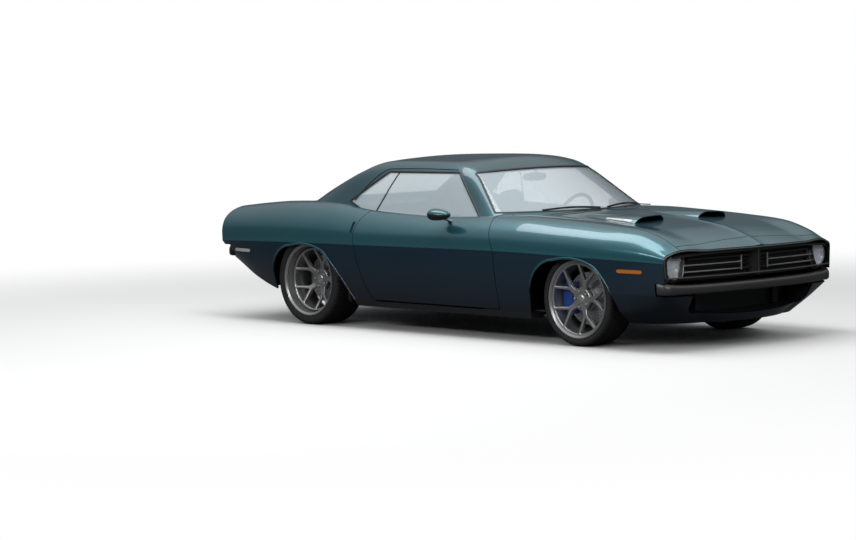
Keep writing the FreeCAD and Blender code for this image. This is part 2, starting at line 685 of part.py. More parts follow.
fender_zone = front_of_door.cut(hood_prism(gap)).common(slab(FRONT - 900, FRONT + 1200, -1000, -700, 0, 1200))
fender = body_skin.common(fender_zone).cut(arches[0]).cut(door_prism(gap)).cut(cabin)
fender = fender.cut(slab(FRONT + 300, FRONT + 1200, -1000, 0, 0, nose_floor))
fender = fender.cut(slab(wrap_x, FRONT + 1200, -1000, 0, 0, bumper_top))
fender = fender.cut(slab(FRONT - 2000, FRONT - 300, -1000, 0, 0, 214))
fender = sorted(fender.Solids, key=lambda s: -s.Volume)[0]
fender = fused(fender, arch_lip(FRONT, nose_floor))
feature("fenders", Part.makeCompound([fender, fender.mirror(Vector(), Vector(0, 1, 0))]))

door_inner_hull = hull(mm("door_depth"), -12.0, 200.0)
door_skin_part = body_solid.cut(hull(skin, -12.0, 200.0)).common(door_prism(0))
door_core = body_solid.cut(door_inner_hull).common(door_prism(-22))
pillar_relief = greenhouse(-gap).common(slab(FRONT - 1120, FRONT, -1000, 0, 700, 1400))
hinges = [slab(FRONT - 820, FRONT - 690 - seat, -880, -850, z, z + 50) for z in (300.0, 560.0)]
armrest = slab(FRONT - 1560, FRONT - 1180, -842, -772, 560, 604)
door = fused(door_skin_part, door_core, armrest, *hinges).cut(pillar_relief)
pair("door", sorted(door.Solids, key=lambda s: -s.Volume)[0])

quarter_zone = slab(REAR - 1200, REAR + 760, -1000, -half_deck - gap, 0, 1200).cut(door_prism(gap))
rear_bumper_foot = mm("rear_bumper_z") - mm("bumper_height") / 2 - gap
rear_bumper_top = mm("rear_bumper_z") + mm("bumper_height") / 2 + gap
quarter = body_skin.common(quarter_zone).cut(arches[1])
quarter = quarter.cut(slab(REAR - 1200, REAR - 925, -1000, 0, rear_bumper_foot, rear_bumper_top))
quarter = quarter.cut(slab(REAR - 300, REAR + 800, -1000, 0, 0, 214))
quarter = quarter.cut(slab(REAR + 600, REAR + 800, -1000, 0, 214, 1200))
quarter = sorted(quarter.Solids, key=lambda s: -s.Volume)[0]
quarter = fused(quarter, arch_lip(REAR, 214.0).cut(door_prism(gap)))
handle_x, handle_z = REAR + 526.0, 747.0
quarter = quarter.cut(slab(handle_x - 8, handle_x + 8, -1000, -924, handle_z - 41, handle_z + 41))

lid_parts = [body_skin.common(deck_prism(0))]
for y in (-520.0, 520.0):
    lid_parts.append(slab(REAR - 420, REAR - 300, y - 20, y + 20, 700, 1000).common(hinge_layer))
    lid_parts.append(slab(REAR - 420, REAR - 345, y - 20, y + 20, 700, 1000).common(hinge_joiner))
feature("boot_lid", fused(*lid_parts))
shelf_zone = slab(REAR - 338 + gap, REAR + 262, -half_deck - gap, half_deck + gap, 700, 1200)
shelf = body_skin.common(shelf_zone)
feature("quarter_panels", fused(quarter, shelf, quarter.mirror(Vector(), Vector(0, 1, 0))))
cowl_zone = slab(FRONT - 990, FRONT - 450, -1000, 1000, 780, 1200).cut(hood_prism(gap))
cowl_zone = cowl_zone.cut(slab(FRONT - 2000, FRONT + 100, -1000, -700, 0, 1200))
cowl_zone = cowl_zone.cut(slab(FRONT - 2000, FRONT + 100, 700, 1000, 0, 1200))
feature("cowl", body_skin.common(cowl_zone))

tail_inside = hull(skin, top_skin, 0.0).common(tail_block)
tail_zone = tail_block.cut(tail_block.translated(Vector(24, 0, 0)))

# ---------------------------------------------------------------- nose, tail, bumpers and lamps


def plan_bow(tip, corner, half, depth, z0, z1):
    """A bar bowed in plan across the car: its front edge runs from corner through tip to corner."""
    shape = outline(
        (corner, -half, z0), ((tip, 0, z0), (corner, half, z0)), (corner - depth, half, z0),
        ((tip - depth, 0, z0), (corner - depth, -half, z0)), (corner, -half, z0),
    )
    return prism(shape, (0, 0, z1 - z0))


mouth_zone = slab(FRONT + 400, FRONT + 1200, -1000, 1000, 0, 1200)
nose_inside = hull(skin + seat, top_skin + seat, 0.0).common(mouth_zone)
VALANCE = [
    # height  half-width at +300 and +500, end of the side x y, round the corner x y, front edge x y, middle x
    (384,      926, 911,   740, 880,   806, 850,   842, 760,   906),
    (280,      892, 868,   640, 812,   748, 735,   800, 560,   888),
    (175,      800, 735,   560, 690,   668, 612,   745, 430,   852),
]


def valance_block(inset):
    """The front apron as a solid: plan outlines at three heights, tucked in below, all moved in by inset."""
    wires = []
    for z, *p in VALANCE:
        back = FRONT + 300 - inset
        side = [(FRONT + 500, p[1] - inset), (FRONT + p[2], p[3] - inset)]
        round_corner = (FRONT + p[4] - inset * 0.7, p[5] - inset * 0.7)
        edge = (FRONT + p[6] - inset, p[7] - inset * 0.3)
        right = [(x, -y, z) for x, y in [(back, p[0] - inset), *side, round_corner, edge]]
        left = [(x, y, z) for x, y in [edge, round_corner, *reversed(side), (back, p[0] - inset)]]
        middle = (FRONT + p[8] - inset, 0, z)
        wires.append(outline(
            right[0], right[1], right[2], (right[3], right[4]), (middle, left[0]), (left[1], left[2]), left[3], left[4],
        ))
    return Part.makeLoft(wires, True, True)


mouth_x = FRONT + 500.0
mouth = prism(outline(
    (mouth_x, -640, 400), (mouth_x, -628, 300), ((mouth_x, -603, 260), (mouth_x, -540, 248)),
    ((mouth_x, 0, 226), (mouth_x, 540, 248)), ((mouth_x, 603, 260), (mouth_x, 628, 300)), (mouth_x, 640, 400),
), (600, 0, 0))
valance = valance_block(0.0).cut(valance_block(skin)).cut(mouth)
valance = valance.cut(slab(wrap_x, FRONT + 1200, -1000, 1000, bumper_foot, 600))
for arch in both_arches:
    valance = valance.cut(arch)
feature("front_valance", sorted(valance.Solids, key=lambda s: -s.Volume)[0])

grille_plate = plan_bow(FRONT + 815, FRONT + 735, 900, 12, 470, 720)
surround = nose_inside.cut(hull(skin + 12, top_skin + 12, 0.0))
grille_parts = [grille_plate, surround.common(plan_bow(FRONT + 908, FRONT + 814, 900, 106, 480, 760))]
BLADES = [(z, 845, 800, 55, 2.5) for z in (503, 560, 589, 645, 674)] + [(z, 860, 812, 70, 6) for z in (532, 617)]
for z, tip, corner, depth, half in BLADES:
    blade = plan_bow(FRONT + tip, FRONT + corner, 640, depth, z - half, z + half)
    grille_parts.append(blade.common(slab(0, 4000, 30, 640, 0, 1200)))
    grille_parts.append(blade.common(slab(0, 4000, -640, -30, 0, 1200)))
prow = [(FRONT + 800, -62, 490), (FRONT + 893, -20, 490), (FRONT + 893, 20, 490), (FRONT + 800, 62, 490)]
grille_parts.append(prism(wire(prow), (0, 0, 230)))
lamp_r, lamp_y, lamp_z = mm("lamp_radius"), mm("lamp_y"), mm("lamp_z")
for y in (-lamp_y, lamp_y):
    ring = Part.makeCylinder(lamp_r + 16, 60, Vector(FRONT + 725, y, lamp_z), Vector(1, 0, 0))
    grille_parts.append(ring)
grille = fused(*grille_parts)
for y in (-lamp_y, lamp_y):
    grille = grille.cut(Part.makeCylinder(lamp_r + seat, 60, Vector(FRONT + 745, y, lamp_z), Vector(1, 0, 0)))
feature("grille", grille.common(nose_inside))
lamps = []
for y in (-lamp_y, lamp_y):
    bowl = Part.makeCylinder(lamp_r, 46, Vector(FRONT + 745 + seat, y, lamp_z), Vector(1, 0, 0))
    bowl = bowl.common(Part.makeSphere(190, Vector(FRONT + 745 + 46 - 190, y, lamp_z)))
    lamps.append(bowl)
feature("headlamps", Part.makeCompound(lamps))


def wrap_bar(tip, corner, half, depth, reach, z0, height, sign):
    """A bumper in plan: a bowed face whose ends turn back along the car's sides."""
    shape = outline(
        (corner, -half, z0), ((tip, 0, z0), (corner, half, z0)), (corner - sign * reach, half + 56, z0),
        (corner - sign * reach, half + 40, z0), (corner - sign * depth, half - 30, z0),
        ((tip - sign * depth, 0, z0), (corner - sign * depth, -half + 30, z0)),
        (corner - sign * reach, -half - 40, z0), (corner - sign * reach, -half - 56, z0), (corner, -half, z0),
    )
    return prism(shape, (0, 0, height))


tall, deep = mm("bumper_height"), mm("bumper_depth")
front_tip = FRONT + mm("front_overhang")
bumper = wrap_bar(front_tip, front_tip - 105, 840, deep, 85, mm("bumper_z") - tall / 2, tall, 1)
front_bumper = bumper.cut(hull(-seat, -300.0, 300.0).common(slab(FRONT, wrap_x, -1000, 1000, 0, 1200)))
feature("front_bumper", front_bumper)
rear_tip = REAR - mm("rear_overhang") + 30
bumper = wrap_bar(rear_tip, rear_tip + 38, 830, deep, 60, mm("rear_bumper_z") - tall / 2, tall, -1)
feature("rear_bumper", bumper)
rear_wall = slab(REAR - 950, REAR - 934, -800, 800, 330, rear_bumper_foot)
for y in (-88.9, 88.9):
    rear_wall = rear_wall.cut(Part.makeCylinder(3.5, 60, Vector(REAR - 970, y, 405), Vector(1, 0, 0)))
feature("rear_valance", rear_wall.cut(body_skin))

above_bumper = slab(REAR - 1200, REAR - 900, -1000, 1000, rear_bumper_top, 1200)
tail_strip = tail_inside.common(tail_zone).common(above_bumper)
tail_strip = tail_strip.cut(deck_prism(gap))
lamp_boxes = [slab(REAR - 1200, REAR - 950, y, y + 520, 612, 722) for y in (-770, 250)]
for box in lamp_boxes:
    tail_strip = tail_strip.cut(box)
feature("tail_panel", tail_strip)
lenses = []
for box in lamp_boxes:
    bounds = box.BoundBox
    core = slab(REAR - 1200, REAR - 950, bounds.YMin + seat, bounds.YMax - seat, 612 + seat, 722 - seat)
    lenses.append(core.common(tail_inside.common(tail_zone).translated(Vector(8, 0, 0))))
feature("tail_lamps", Part.makeCompound(lenses))
markers = []
marker_skin = hull(-4.0, 0.0, 0.0).cut(hull(-0.3, -100.0, 100.0))
for x0, x1, z in ((FRONT + 420, FRONT + 640, 540), (REAR - 860, REAR - 650, 533)):
    strip = marker_skin.common(slab(x0, x1, -1000, 0, z - 14, z + 14))
    markers += [strip, strip.mirror(Vector(), Vector(0, 1, 0))]
feature("side_markers", Part.makeCompound(markers))

# ---------------------------------------------------------------- floor, bulkhead and wheel tubs
inner_hull = hull(skin + seat, top_skin + seat, 0.0)
floor_z, plate = mm("floor_height"), mm("floor_plate")
boot_z = mm("rear_floor_height")
tunnel_w, tunnel_h = mm("tunnel_half_width"), mm("tunnel_height")
wall = mm("aperture_wall")
bulkhead_x = FRONT - 690.0
riser_x = REAR + 330.0
tub_y = mm("rear_wheel_face") - mm("rear_tyre_width") - 34.0
tub_top = 2 * mm("rear_tyre_radius") + 62.0
exhaust_z = 290.0
floor_parts = [
    slab(riser_x, bulkhead_x + 2 * wall, -800, 800, floor_z, floor_z + plate),
    slab(riser_x, bulkhead_x + 2 * wall, -tunnel_w, tunnel_w, floor_z, tunnel_h),
    slab(riser_x - wall, riser_x, -tub_y, tub_y, floor_z, boot_z),
    slab(REAR - 930, riser_x, -tub_y, tub_y, boot_z, boot_z + plate),
    slab(REAR - 930, REAR - 450, -780, 780, boot_z + 40, boot_z + 40 + plate).common(inner_hull),
]
for side in (-1, 1):
    y0, y1 = sorted((side * 520, side * 570))
    floor_parts.append(slab(REAR - 946, REAR - 900, y0, y1, boot_z + 20, boot_z + 60))
    floor_parts.append(slab(REAR - 950 + 16 + seat, REAR - 900, y0, y1, 440, boot_z + plate))
    hanger_foot = exhaust_z + mm("muffler_radius") + seat
    floor_parts.append(slab(REAR - 700, REAR - 670, side * 390 - 12, side * 390 + 12, hanger_foot, boot_z + plate))
sills = body_solid.common(slab(REAR + 300, FRONT - 300, -1000, 1000, 0, 214))
sills = sills.cut(slab(-4000, 4000, -780, 780, 0, 400))
for arch in both_arches:
    sills = sills.cut(arch)
floor = fused(*floor_parts, sills)
tunnel_hollow = slab(riser_x - 100, FRONT - 500, -tunnel_w + wall, tunnel_w - wall, 0, tunnel_h - wall)
floor = floor.cut(tunnel_hollow)
feature("floor_pan", floor)

# The bulkhead stands on the floor's front edge and carries the door hinge posts.
bulkhead_parts = [slab(bulkhead_x, bulkhead_x + wall * 2, -1000, 1000, floor_z, 1000).common(inner_hull)]
for side in (-1, 1):
    y0, y1 = sorted((side * 640, side * 696))
    bulkhead_parts.append(slab(bulkhead_x - 120, bulkhead_x + wall, y0, y1, floor_z, 800))
tunnel_solid = slab(riser_x, bulkhead_x + 2 * wall, -tunnel_w, tunnel_w, 0, tunnel_h)
feature("bulkhead", fused(*bulkhead_parts).cut(floor).cut(tunnel_solid))

# A tub round each rear wheel, with the wall that closes the quarter panel off from the door.
tubs = []
for side in (-1, 1):
    y0, y1 = sorted((side * tub_y, side * (tub_y - 14)))
    tub_parts = [
        slab(REAR - 450, riser_x, y0, y1, boot_z, tub_top),
        slab(riser_x - wall, REAR + 450, y0, y1, floor_z, tub_top),
    ]
    y0, y1 = sorted((side * (tub_y - 14), side * 1000))
    tub_parts.append(slab(REAR - 450, REAR + 450, y0, y1, tub_top - 14, tub_top).common(inner_hull))
    tub_parts.append(slab(REAR + 450, REAR + 470, y0, y1, floor_z, tub_top).common(inner_hull))
    tub_parts.append(slab(REAR - 462, REAR - 450, y0, y1, 200, tub_top).common(inner_hull))
    tubs.append(fused(*tub_parts).cut(floor))
feature("wheel_tubs", Part.makeCompound(tubs))

rails = []
for side in (-1, 1):
    y0, y1 = sorted((side * 380, side * 440))
    rails.append(slab(bulkhead_x + 2 * wall + seat, FRONT + 700, y0, y1, 250, 340))
    y0, y1 = sorted((side * 428, side * 440))
    rails.append(slab(bulkhead_x + 2 * wall + seat, FRONT + 640, y0, y1, 330, 722))
    y0, y1 = sorted((side * 428, side * 1000))
    rails.append(slab(bulkhead_x + 2 * wall + seat, FRONT + 640, y0, y1, 708, 722).common(inner_hull))
    y0, y1 = sorted((side * 380, side * 440))
    iron = slab(FRONT + 640, FRONT + 700, y0, y1, 330, 445).fuse(slab(FRONT + 690, FRONT + 900, y0, y1, 395, 445))
    iron = iron.cut(front_bumper.translated(Vector(-seat, 0, 0)))
    rails.append(iron.common(slab(0, FRONT + 870, -500, 500, 0, 900)))
rails.append(slab(FRONT + 640, FRONT + 668, -440, 440, 230, 640))
rails.append(slab(FRONT - 60, FRONT + 60, -440, 440, 170, 226))
for y in (-240.0, 240.0):
    rails.append(slab(FRONT - 40, FRONT + 40, y - 35, y + 35, 220, 240 - seat))
rails.append(slab(FRONT - 40, FRONT + 40, -440, -400, 220, 260))
rails.append(slab(FRONT - 40, FRONT + 40, 400, 440, 220, 260))
inside_valance = valance_block(skin + seat)
for side in (-1, 1):
    y0, y1 = sorted((side * 428, side * 1000))
    rails.append(slab(FRONT + 430, FRONT + 442, y0, y1, nose_floor, 722).common(inner_hull))
    rails.append(slab(FRONT + 430, FRONT + 442, y0, y1, 215, nose_floor).common(inside_valance))
frame_rails = rails
block_back, block_front, crank_z = FRONT - 520.0, FRONT + 120.0, 330.0
vee = outline(
    (block_back, -110, 240), (block_back, 110, 240), (block_back, 150, 310), (block_back, 175, 400),
    (block_back, 310, 530), ((block_back, 316, 570), (block_back, 290, 600)), (block_back, 215, 672),
    ((block_back, 195, 680), (block_back, 178, 668)), (block_back, 90, 580), (block_back, -90, 580),
    (block_back, -178, 668), ((block_back, -195, 680), (block_back, -215, 672)), (block_back, -290, 600),
    ((block_back, -316, 570), (block_back, -310, 530)), (block_back, -175, 400), (block_back, -150, 310),
)
gearbox_rings = [
    Part.Wire([Part.Circle(Vector(x, 0, z), Vector(1, 0, 0), r).toShape()])
    for x, z, r in ((block_back, crank_z, 150), (FRONT - 640, 287, 84), (FRONT - 1290, 287, 78), (FRONT - 1400, 289, 60))
]
engine_parts = [
    prism(vee, (block_front - block_back, 0, 0)),
    slab(FRONT - 40, FRONT + 40, -275, 275, 240, 330),                        # mounts
    slab(FRONT - 420, FRONT + 20, -95, 95, 570, 660),                         # inlet manifold
    Part.makeCylinder(165, 62, Vector(FRONT - 200, 0, 655)),                  # air cleaner
    Part.makeCylinder(92, 50, Vector(block_front - 1, 0, crank_z), Vector(1, 0, 0)),
    Part.makeCylinder(70, 60, Vector(block_front - 1, 0, 500), Vector(1, 0, 0)),
    Part.makeLoft(gearbox_rings, True, True),
]
feature("engine", fused(*engine_parts))

# ---------------------------------------------------------------- suspension, axle and exhaust
hub_back = {end: number(WHEELS[end][3] - WHEELS[end][5] - dim("spoke_depth") - 8) for end in WHEELS}
hub_z = {end: number(WHEELS[end][1]) for end in WHEELS}
king_y, reach = mm("kingpin_y"), mm("caliper_reach")


def caliper(axle, end, sign):
    """A brake caliper over the disc's edge, behind or ahead of the axle, on the right."""
    face = -hub_back[end] + 34
    y0, y1 = face - 31, face + mm("disc_depth") + 26
    ring = Part.makeCylinder(reach, y1 - y0, Vector(axle, y0, hub_z[end]), Vector(0, 1, 0))
    ring = ring.cut(Part.makeCylinder(reach - 88, y1 - y0, Vector(axle, y0, hub_z[end]), Vector(0, 1, 0)))
    slot = Part.makeCylinder(mm("disc_radius") + 6, mm("disc_depth") + 10, Vector(axle, face - 5, hub_z[end]),
                             Vector(0, 1, 0))
    box = slab(axle + min(sign * 90, sign * 230), axle + max(sign * 90, sign * 230), -1000, 0,
               hub_z[end] - 110, hub_z[end] + 110)
    return ring.common(box).cut(slot)


z_f = hub_z["front"]
spindle = rod((FRONT, -king_y + 20, z_f), (FRONT, -hub_back["front"] + 10 + seat, z_f), 36)
upright = slab(FRONT - 34, FRONT + 34, -king_y - 22, -king_y + 22, z_f - 136 + seat, z_f + 136 - seat)
kingpin = rod((FRONT, -king_y, z_f - 136 + seat), (FRONT, -king_y, z_f + 136 - seat), 27)
arm = slab(FRONT - 150, FRONT, -king_y - 18, -king_y + 18, z_f - 90, z_f - 60)
bracket = slab(FRONT - 200, FRONT - 20, -king_y - 60, -king_y - 10, z_f - 30, z_f + 30)
front_caliper = caliper(FRONT, "front", -1)
knuckle = fused(spindle, upright, kingpin, arm, bracket).cut(
    Part.makeCylinder(mm("disc_radius") + 6, 200, Vector(FRONT, -hub_back["front"] + 29 + 40, z_f), Vector(0, -1, 0))
    .cut(Part.makeCylinder(70, 400, Vector(FRONT, -hub_back["front"] - 100, z_f), Vector(0, 1, 0))))
pair("knuckle", knuckle.cut(front_caliper))
pair("caliper_front", front_caliper)
for side in (-1, 1):
    for z in (z_f - 150, z_f + 150):
        y0, y1 = sorted((side * 436, side * (king_y + 30)))
        frame_rails.append(slab(FRONT - 50, FRONT + 50, y0, y1, z - 14, z + 14))
    frame_rails.append(rod((FRONT, side * 500, z_f - 140), (FRONT, side * 500, z_f + 140), mm("coil_radius")))
feature("front_frame", fused(*frame_rails))

z_r = hub_z["rear"]
tube_half = hub_back["rear"] - 10 - seat
tube = rod((REAR, -tube_half, z_r), (REAR, tube_half, z_r), mm("axle_tube_radius"))
casing = Part.makeSphere(mm("diff_radius"), Vector(REAR, 0, z_r))
snout = rod((REAR, 0, z_r), (REAR + 190, 0, z_r - 6), 55)
shaft = rod((REAR + 180, 0, z_r - 6), (FRONT - 1404, 0, 290), mm("shaft_radius"))
feature("rear_axle", fused(tube, casing, snout, shaft))
rear_caliper = caliper(REAR, "rear", 1)
bracket = slab(REAR, REAR + 130, -hub_back["rear"] + 74, -hub_back["rear"] + 94, z_r - 60, z_r + 60)
hole = Part.makeCylinder(mm("axle_tube_radius") + seat, 200, Vector(REAR, -hub_back["rear"], z_r), Vector(0, 1, 0))
rear_caliper = fused(rear_caliper, bracket).cut(hole)
feature("rear_calipers", Part.makeCompound([rear_caliper, rear_caliper.mirror(Vector(), Vector(0, 1, 0))]))
springs = []
spring_top = z_r - mm("axle_tube_radius") - 0.1
leaf = outline(
    (REAR + 310, 0, 330), ((REAR, 0, spring_top - 28), (REAR - 640, 0, 400)), (REAR - 640, 0, 428),
    ((REAR, 0, spring_top), (REAR + 310, 0, 358)), (REAR + 310, 0, 330),
)
for y0 in (-520, 460):
    springs.append(side_prism(leaf, y0, y0 + 60).cut(tube))
feature("leaf_springs", Part.makeCompound(springs))
pipes = []
r = mm("exhaust_radius")
for side in (-1, 1):
    path = [
        (FRONT - 480, side * 200, 200), (FRONT - 640, side * 200, 150), (REAR - 150, side * 200, 150),
        (REAR - 380, side * 390, exhaust_z), (REAR - 500, side * 390, exhaust_z),
    ]
    pipe = bent_bar(path, r, 90)
    muffler = rod((REAR - 500, side * 390, exhaust_z), (REAR - 880, side * 390, exhaust_z), mm("muffler_radius"))
    tip = rod((REAR - 880, side * 390, exhaust_z), (REAR - 975, side * 390, exhaust_z), 34)
    pipes.append(fused(pipe, muffler, tip))
feature("exhaust", Part.makeCompound(pipes))
tank_back, tank_front, tank_half, tank_top, tank_low = REAR - 880.0, REAR - 400.0, 310.0, boot_z - seat, 290.0
tank = outline(
    (tank_back, -tank_half, tank_top), (tank_back, -tank_half, tank_low + 60),
    ((tank_back, -tank_half + 18, tank_low + 18), (tank_back, -tank_half + 60, tank_low)),
    (tank_back, tank_half - 60, tank_low),
    ((tank_back, tank_half - 18, tank_low + 18), (tank_back, tank_half, tank_low + 60)), (tank_back, tank_half, tank_top),
)
feature("fuel_tank", prism(tank, (tank_front - tank_back, 0, 0)))

# ---------------------------------------------------------------- interior and mirrors
dash = outline(
    (bulkhead_x - seat, 0, 836), (FRONT - 1010, 0, 838), (FRONT - 1060, 0, 800), (FRONT - 1050, 0, 700),
    (FRONT - 960, 0, 620), (bulkhead_x - seat, 0, 600),
)
column_top, column_foot = Vector(FRONT - 1180, 370, 790), Vector(FRONT - 880, 370, 680)
dash_solid = side_prism(dash, -634, 634).common(hull(skin + seat, top_skin + seat, 0.0))
along = (column_top - column_foot).normalize()
dash_solid = fused(dash_solid, rod(column_foot, column_top - along * (15 + seat), 32))
feature("dashboard", dash_solid)
wheel_radius = mm("steering_wheel_radius")
wheel_parts = [Part.makeTorus(wheel_radius, 14), Part.makeCylinder(40, 30, Vector(0, 0, -15))]
for angle in (0, 180, 270):                                # one spoke to each side and one down
    spoke = prism(wire([(20, -24, -4), (wheel_radius, -14, -4), (wheel_radius, 14, -4), (20, 24, -4)]), (0, 0, 8))
    wheel_parts.append(spoke.rotated(Vector(), Vector(0, 0, 1), angle))
wheel_solid = fused(*wheel_parts)
wheel_solid.Placement = Placement(column_top, Rotation(Vector(0, 1, 0), Vector(0, 0, 1), along, "ZYX"))
feature("steering_wheel", wheel_solid)


def chair(x_front, x_back, y0, y1, z_low, z_seat, z_top, lean):
    """A seat in side view: a cushion with a round front edge and a leaning back with a round top."""
    shape = outline(
        (x_front - 30, 0, z_low), (x_front - 4, 0, z_seat - 70),
        ((x_front - 14, 0, z_seat - 16), (x_front - 60, 0, z_seat)), (x_back + 170, 0, z_seat - 34),
        ((x_back + 138, 0, z_seat - 24), (x_back + 124, 0, z_seat + 10)), (x_back + 106 - lean, 0, z_top - 40),
        ((x_back + 50 - lean, 0, z_top), (x_back - lean, 0, z_top - 40)), (x_back - 20, 0, z_low),
    )
    return side_prism(shape, y0, y1)


def bucket(y):
    """A front seat: the chair with raised bolsters at its sides and a head restraint on its back."""
    x_front, x_back, low = FRONT - 1270.0, FRONT - 1800.0, floor_z + plate + seat
    middle = chair(x_front, x_back, y - half_seat + 60, y + half_seat - 60, low, 420, 868, 110)
    bolsters = [
        chair(x_front + 10, x_back + 18, y0, y0 + 70, low, 446, 850, 110)
        for y0 in (y - half_seat, y + half_seat - 70)
    ]
    head = Part.makeCylinder(95, 84, Vector(x_back - 128, y, 926), Vector(1, 0, 0))
    head = head.common(slab(x_back - 140, x_back, y - 120, y + 120, 850, 1006))
    post = slab(x_back - 128, x_back - 44, y - 30, y + 30, 856, 960)
    return fused(middle, *bolsters, head, post)


half_seat = mm("seat_width") / 2
feature("front_seats", Part.makeCompound([bucket(y) for y in (-385.0, 385.0)]))
bench = chair(REAR + 800, riser_x + 30, -540, 540, floor_z + plate + seat, 420, 850, 120)
bench = bench.cut(slab(REAR, FRONT, -tunnel_w - seat, tunnel_w + seat, 0, tunnel_h + seat))
feature("rear_seat", bench.cut(slab(REAR - 500, riser_x + seat, -600, 600, 0, boot_z + plate + seat)).cut(
    hull(0.0, top_skin + 5).cut(hull(300, top_skin + 5))))

mirror_x, mirror_y = FRONT - 1240.0, -950.0
pod = Part.makeSphere(1, Vector())
matrix = FreeCAD.Matrix()
matrix.scale(mm("mirror_length") / 2, 72, 44)
pod = pod.transformGeometry(matrix)
pod.translate(Vector(mirror_x, mirror_y, 872))
stem = rod((mirror_x - 5, mirror_y + 40, 862), (mirror_x - 20, -838, 812), 12)
pair("mirror", fused(pod, stem).cut(door))

doc.recompute()
for name, thing in NODES.items():
    for state in ("Invalid", "Error"):
        assert state not in thing.State, name
    assert not thing.Shape.isNull() and thing.Shape.isValid(), name
os.makedirs("parts", exist_ok=True)
for name, thing in NODES.items():
    thing.Shape.exportStep("parts/%s.step" % name)
    print(name, len(thing.Shape.Solids), round(thing.Shape.Volume / 1e6, 2), thing.Shape.isValid())
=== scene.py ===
"""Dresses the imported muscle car: painted panels, glass, lamps, wheels, trim and seats round the CAD frame.

Lengths are in metres: +X to the front of the car, +Y to its left, +Z up, origin on the ground.
A body panel is cut from one of two smooth surfaces: the hull below the belt line, the greenhouse above it.
"""

import copy
import math

import bpy
from mathutils import Matrix, Vector
import numpy as np


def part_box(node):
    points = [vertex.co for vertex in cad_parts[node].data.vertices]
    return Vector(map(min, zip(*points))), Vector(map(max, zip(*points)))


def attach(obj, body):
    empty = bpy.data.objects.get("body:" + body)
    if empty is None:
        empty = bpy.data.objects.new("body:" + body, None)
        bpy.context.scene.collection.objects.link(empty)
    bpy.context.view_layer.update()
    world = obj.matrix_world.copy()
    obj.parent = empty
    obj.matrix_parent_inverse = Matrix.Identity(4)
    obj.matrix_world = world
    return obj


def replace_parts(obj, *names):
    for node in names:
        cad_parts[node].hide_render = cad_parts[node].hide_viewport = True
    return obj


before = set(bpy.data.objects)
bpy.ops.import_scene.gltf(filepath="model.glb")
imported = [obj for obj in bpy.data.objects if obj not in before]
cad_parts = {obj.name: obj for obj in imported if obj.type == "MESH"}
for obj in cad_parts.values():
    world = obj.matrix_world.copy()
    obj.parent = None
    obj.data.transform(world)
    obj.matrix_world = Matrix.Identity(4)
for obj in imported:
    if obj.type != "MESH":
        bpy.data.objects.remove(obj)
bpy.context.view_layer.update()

# ---------------------------------------------------------------- places read from the frame
def span(node):
    """Lowest and highest corner of a CAD node as arrays."""
    low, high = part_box(node)
    return np.array(low), np.array(high)


def centre(node):
    """The middle of a CAD node's box."""
    low, high = span(node)
    return (low + high) / 2


F = centre("tyre_front_right")[0]                       # front axle
R = centre("tyre_rear_right")[0]                        # rear axle
ROOF_TOP = span("roof")[1][2]
GAP = 0.005                                             # between neighbouring panels
SKIN, LID_SKIN = 0.014, 0.018                           # panel thickness
PANE, PANE_DEPTH, PANE_INSET = 0.005, 0.006, 0.0008     # glass: thickness, depth sunk, gap round it
BELT = 0.824                                            # height of the windows' lower edge
SILL_TOP, APRON_TOP = 0.214, 0.384                      # where the sides end at the sill and the apron
HOOD_HALF = span("hood")[1][1]
DECK_HALF = span("boot_lid")[1][1]
DECK_FRONT, DECK_REAR = R - 0.338, R - 0.958
NOSE_TIP, NOSE_CORNER = F + 0.916, F + 0.822
NOSE_HALF = 0.838                                       # half-width where the nose's bow ends
NOSE_SEAM = F + 0.800
WRAP_X = F + 0.735                                      # the bumpers wrap the sides ahead of here
BUMPER_TOP, BUMPER_FOOT = 0.467, 0.373
REAR_BUMPER_TOP, REAR_BUMPER_FOOT = 0.567, 0.473
FORWARD, BACKWARD = np.array([1.0, 0.0, 0.0]), np.array([-1.0, 0.0, 0.0])
RIGHTWARD, UPWARD = np.array([0.0, -1.0, 0.0]), np.array([0.0, 0.0, 1.0])
SIDES = (("right", -1), ("left", 1))


# ---------------------------------------------------------------- curves and distances
def hermite(a, b, rise_a, rise_b, t):
    """The cubic from a to b for t from 0 to 1, where the rises are its slopes at the ends."""
    return (
        a * (1 + 2 * t) * (1 - t) ** 2 + rise_a * t * (1 - t) ** 2
        + b * t * t * (3 - 2 * t) + rise_b * t * t * (t - 1)
    )


def pchip(knots, values, x):
    """Monotone cubic interpolation: a slope is a weighted harmonic mean of its chords, or 0 at a turn."""
    knots, values, x = np.asarray(knots, float), np.asarray(values, float), np.asarray(x, float)
    h = np.diff(knots)[:, None]
    v = values.reshape(len(knots), -1)
    d = np.diff(v, axis=0) / h
    m = np.zeros_like(v)
    a, b = 2 * h[1:] + h[:-1], h[1:] + 2 * h[:-1]
    same = d[:-1] * d[1:] > 0
    safe = np.where(same, d[:-1] * d[1:], 1.0)
    m[1:-1] = np.where(same, (a + b) * safe / np.where(same, a * d[1:] + b * d[:-1], 1.0), 0.0)
    m[0], m[-1] = d[0], d[-1]
    i = np.clip(np.searchsorted(knots, x.ravel()) - 1, 0, len(knots) - 2)
    t = np.clip((x.ravel() - knots[i]) / h[i, 0], -0.2, 1.2)[:, None]
    out = hermite(v[i], v[i + 1], m[i] * h[i], m[i + 1] * h[i], t)
    return out.reshape(x.shape + values.shape[1:])


def unit(vectors):
    """Vectors divided by their own lengths."""
    return vectors / np.linalg.norm(vectors, axis=-1, keepdims=True)


def xyz(x, y, z):
    """Points from three coordinates, each an array or one number."""
    return np.column_stack(np.broadcast_arrays(x, y, z)).astype(float)


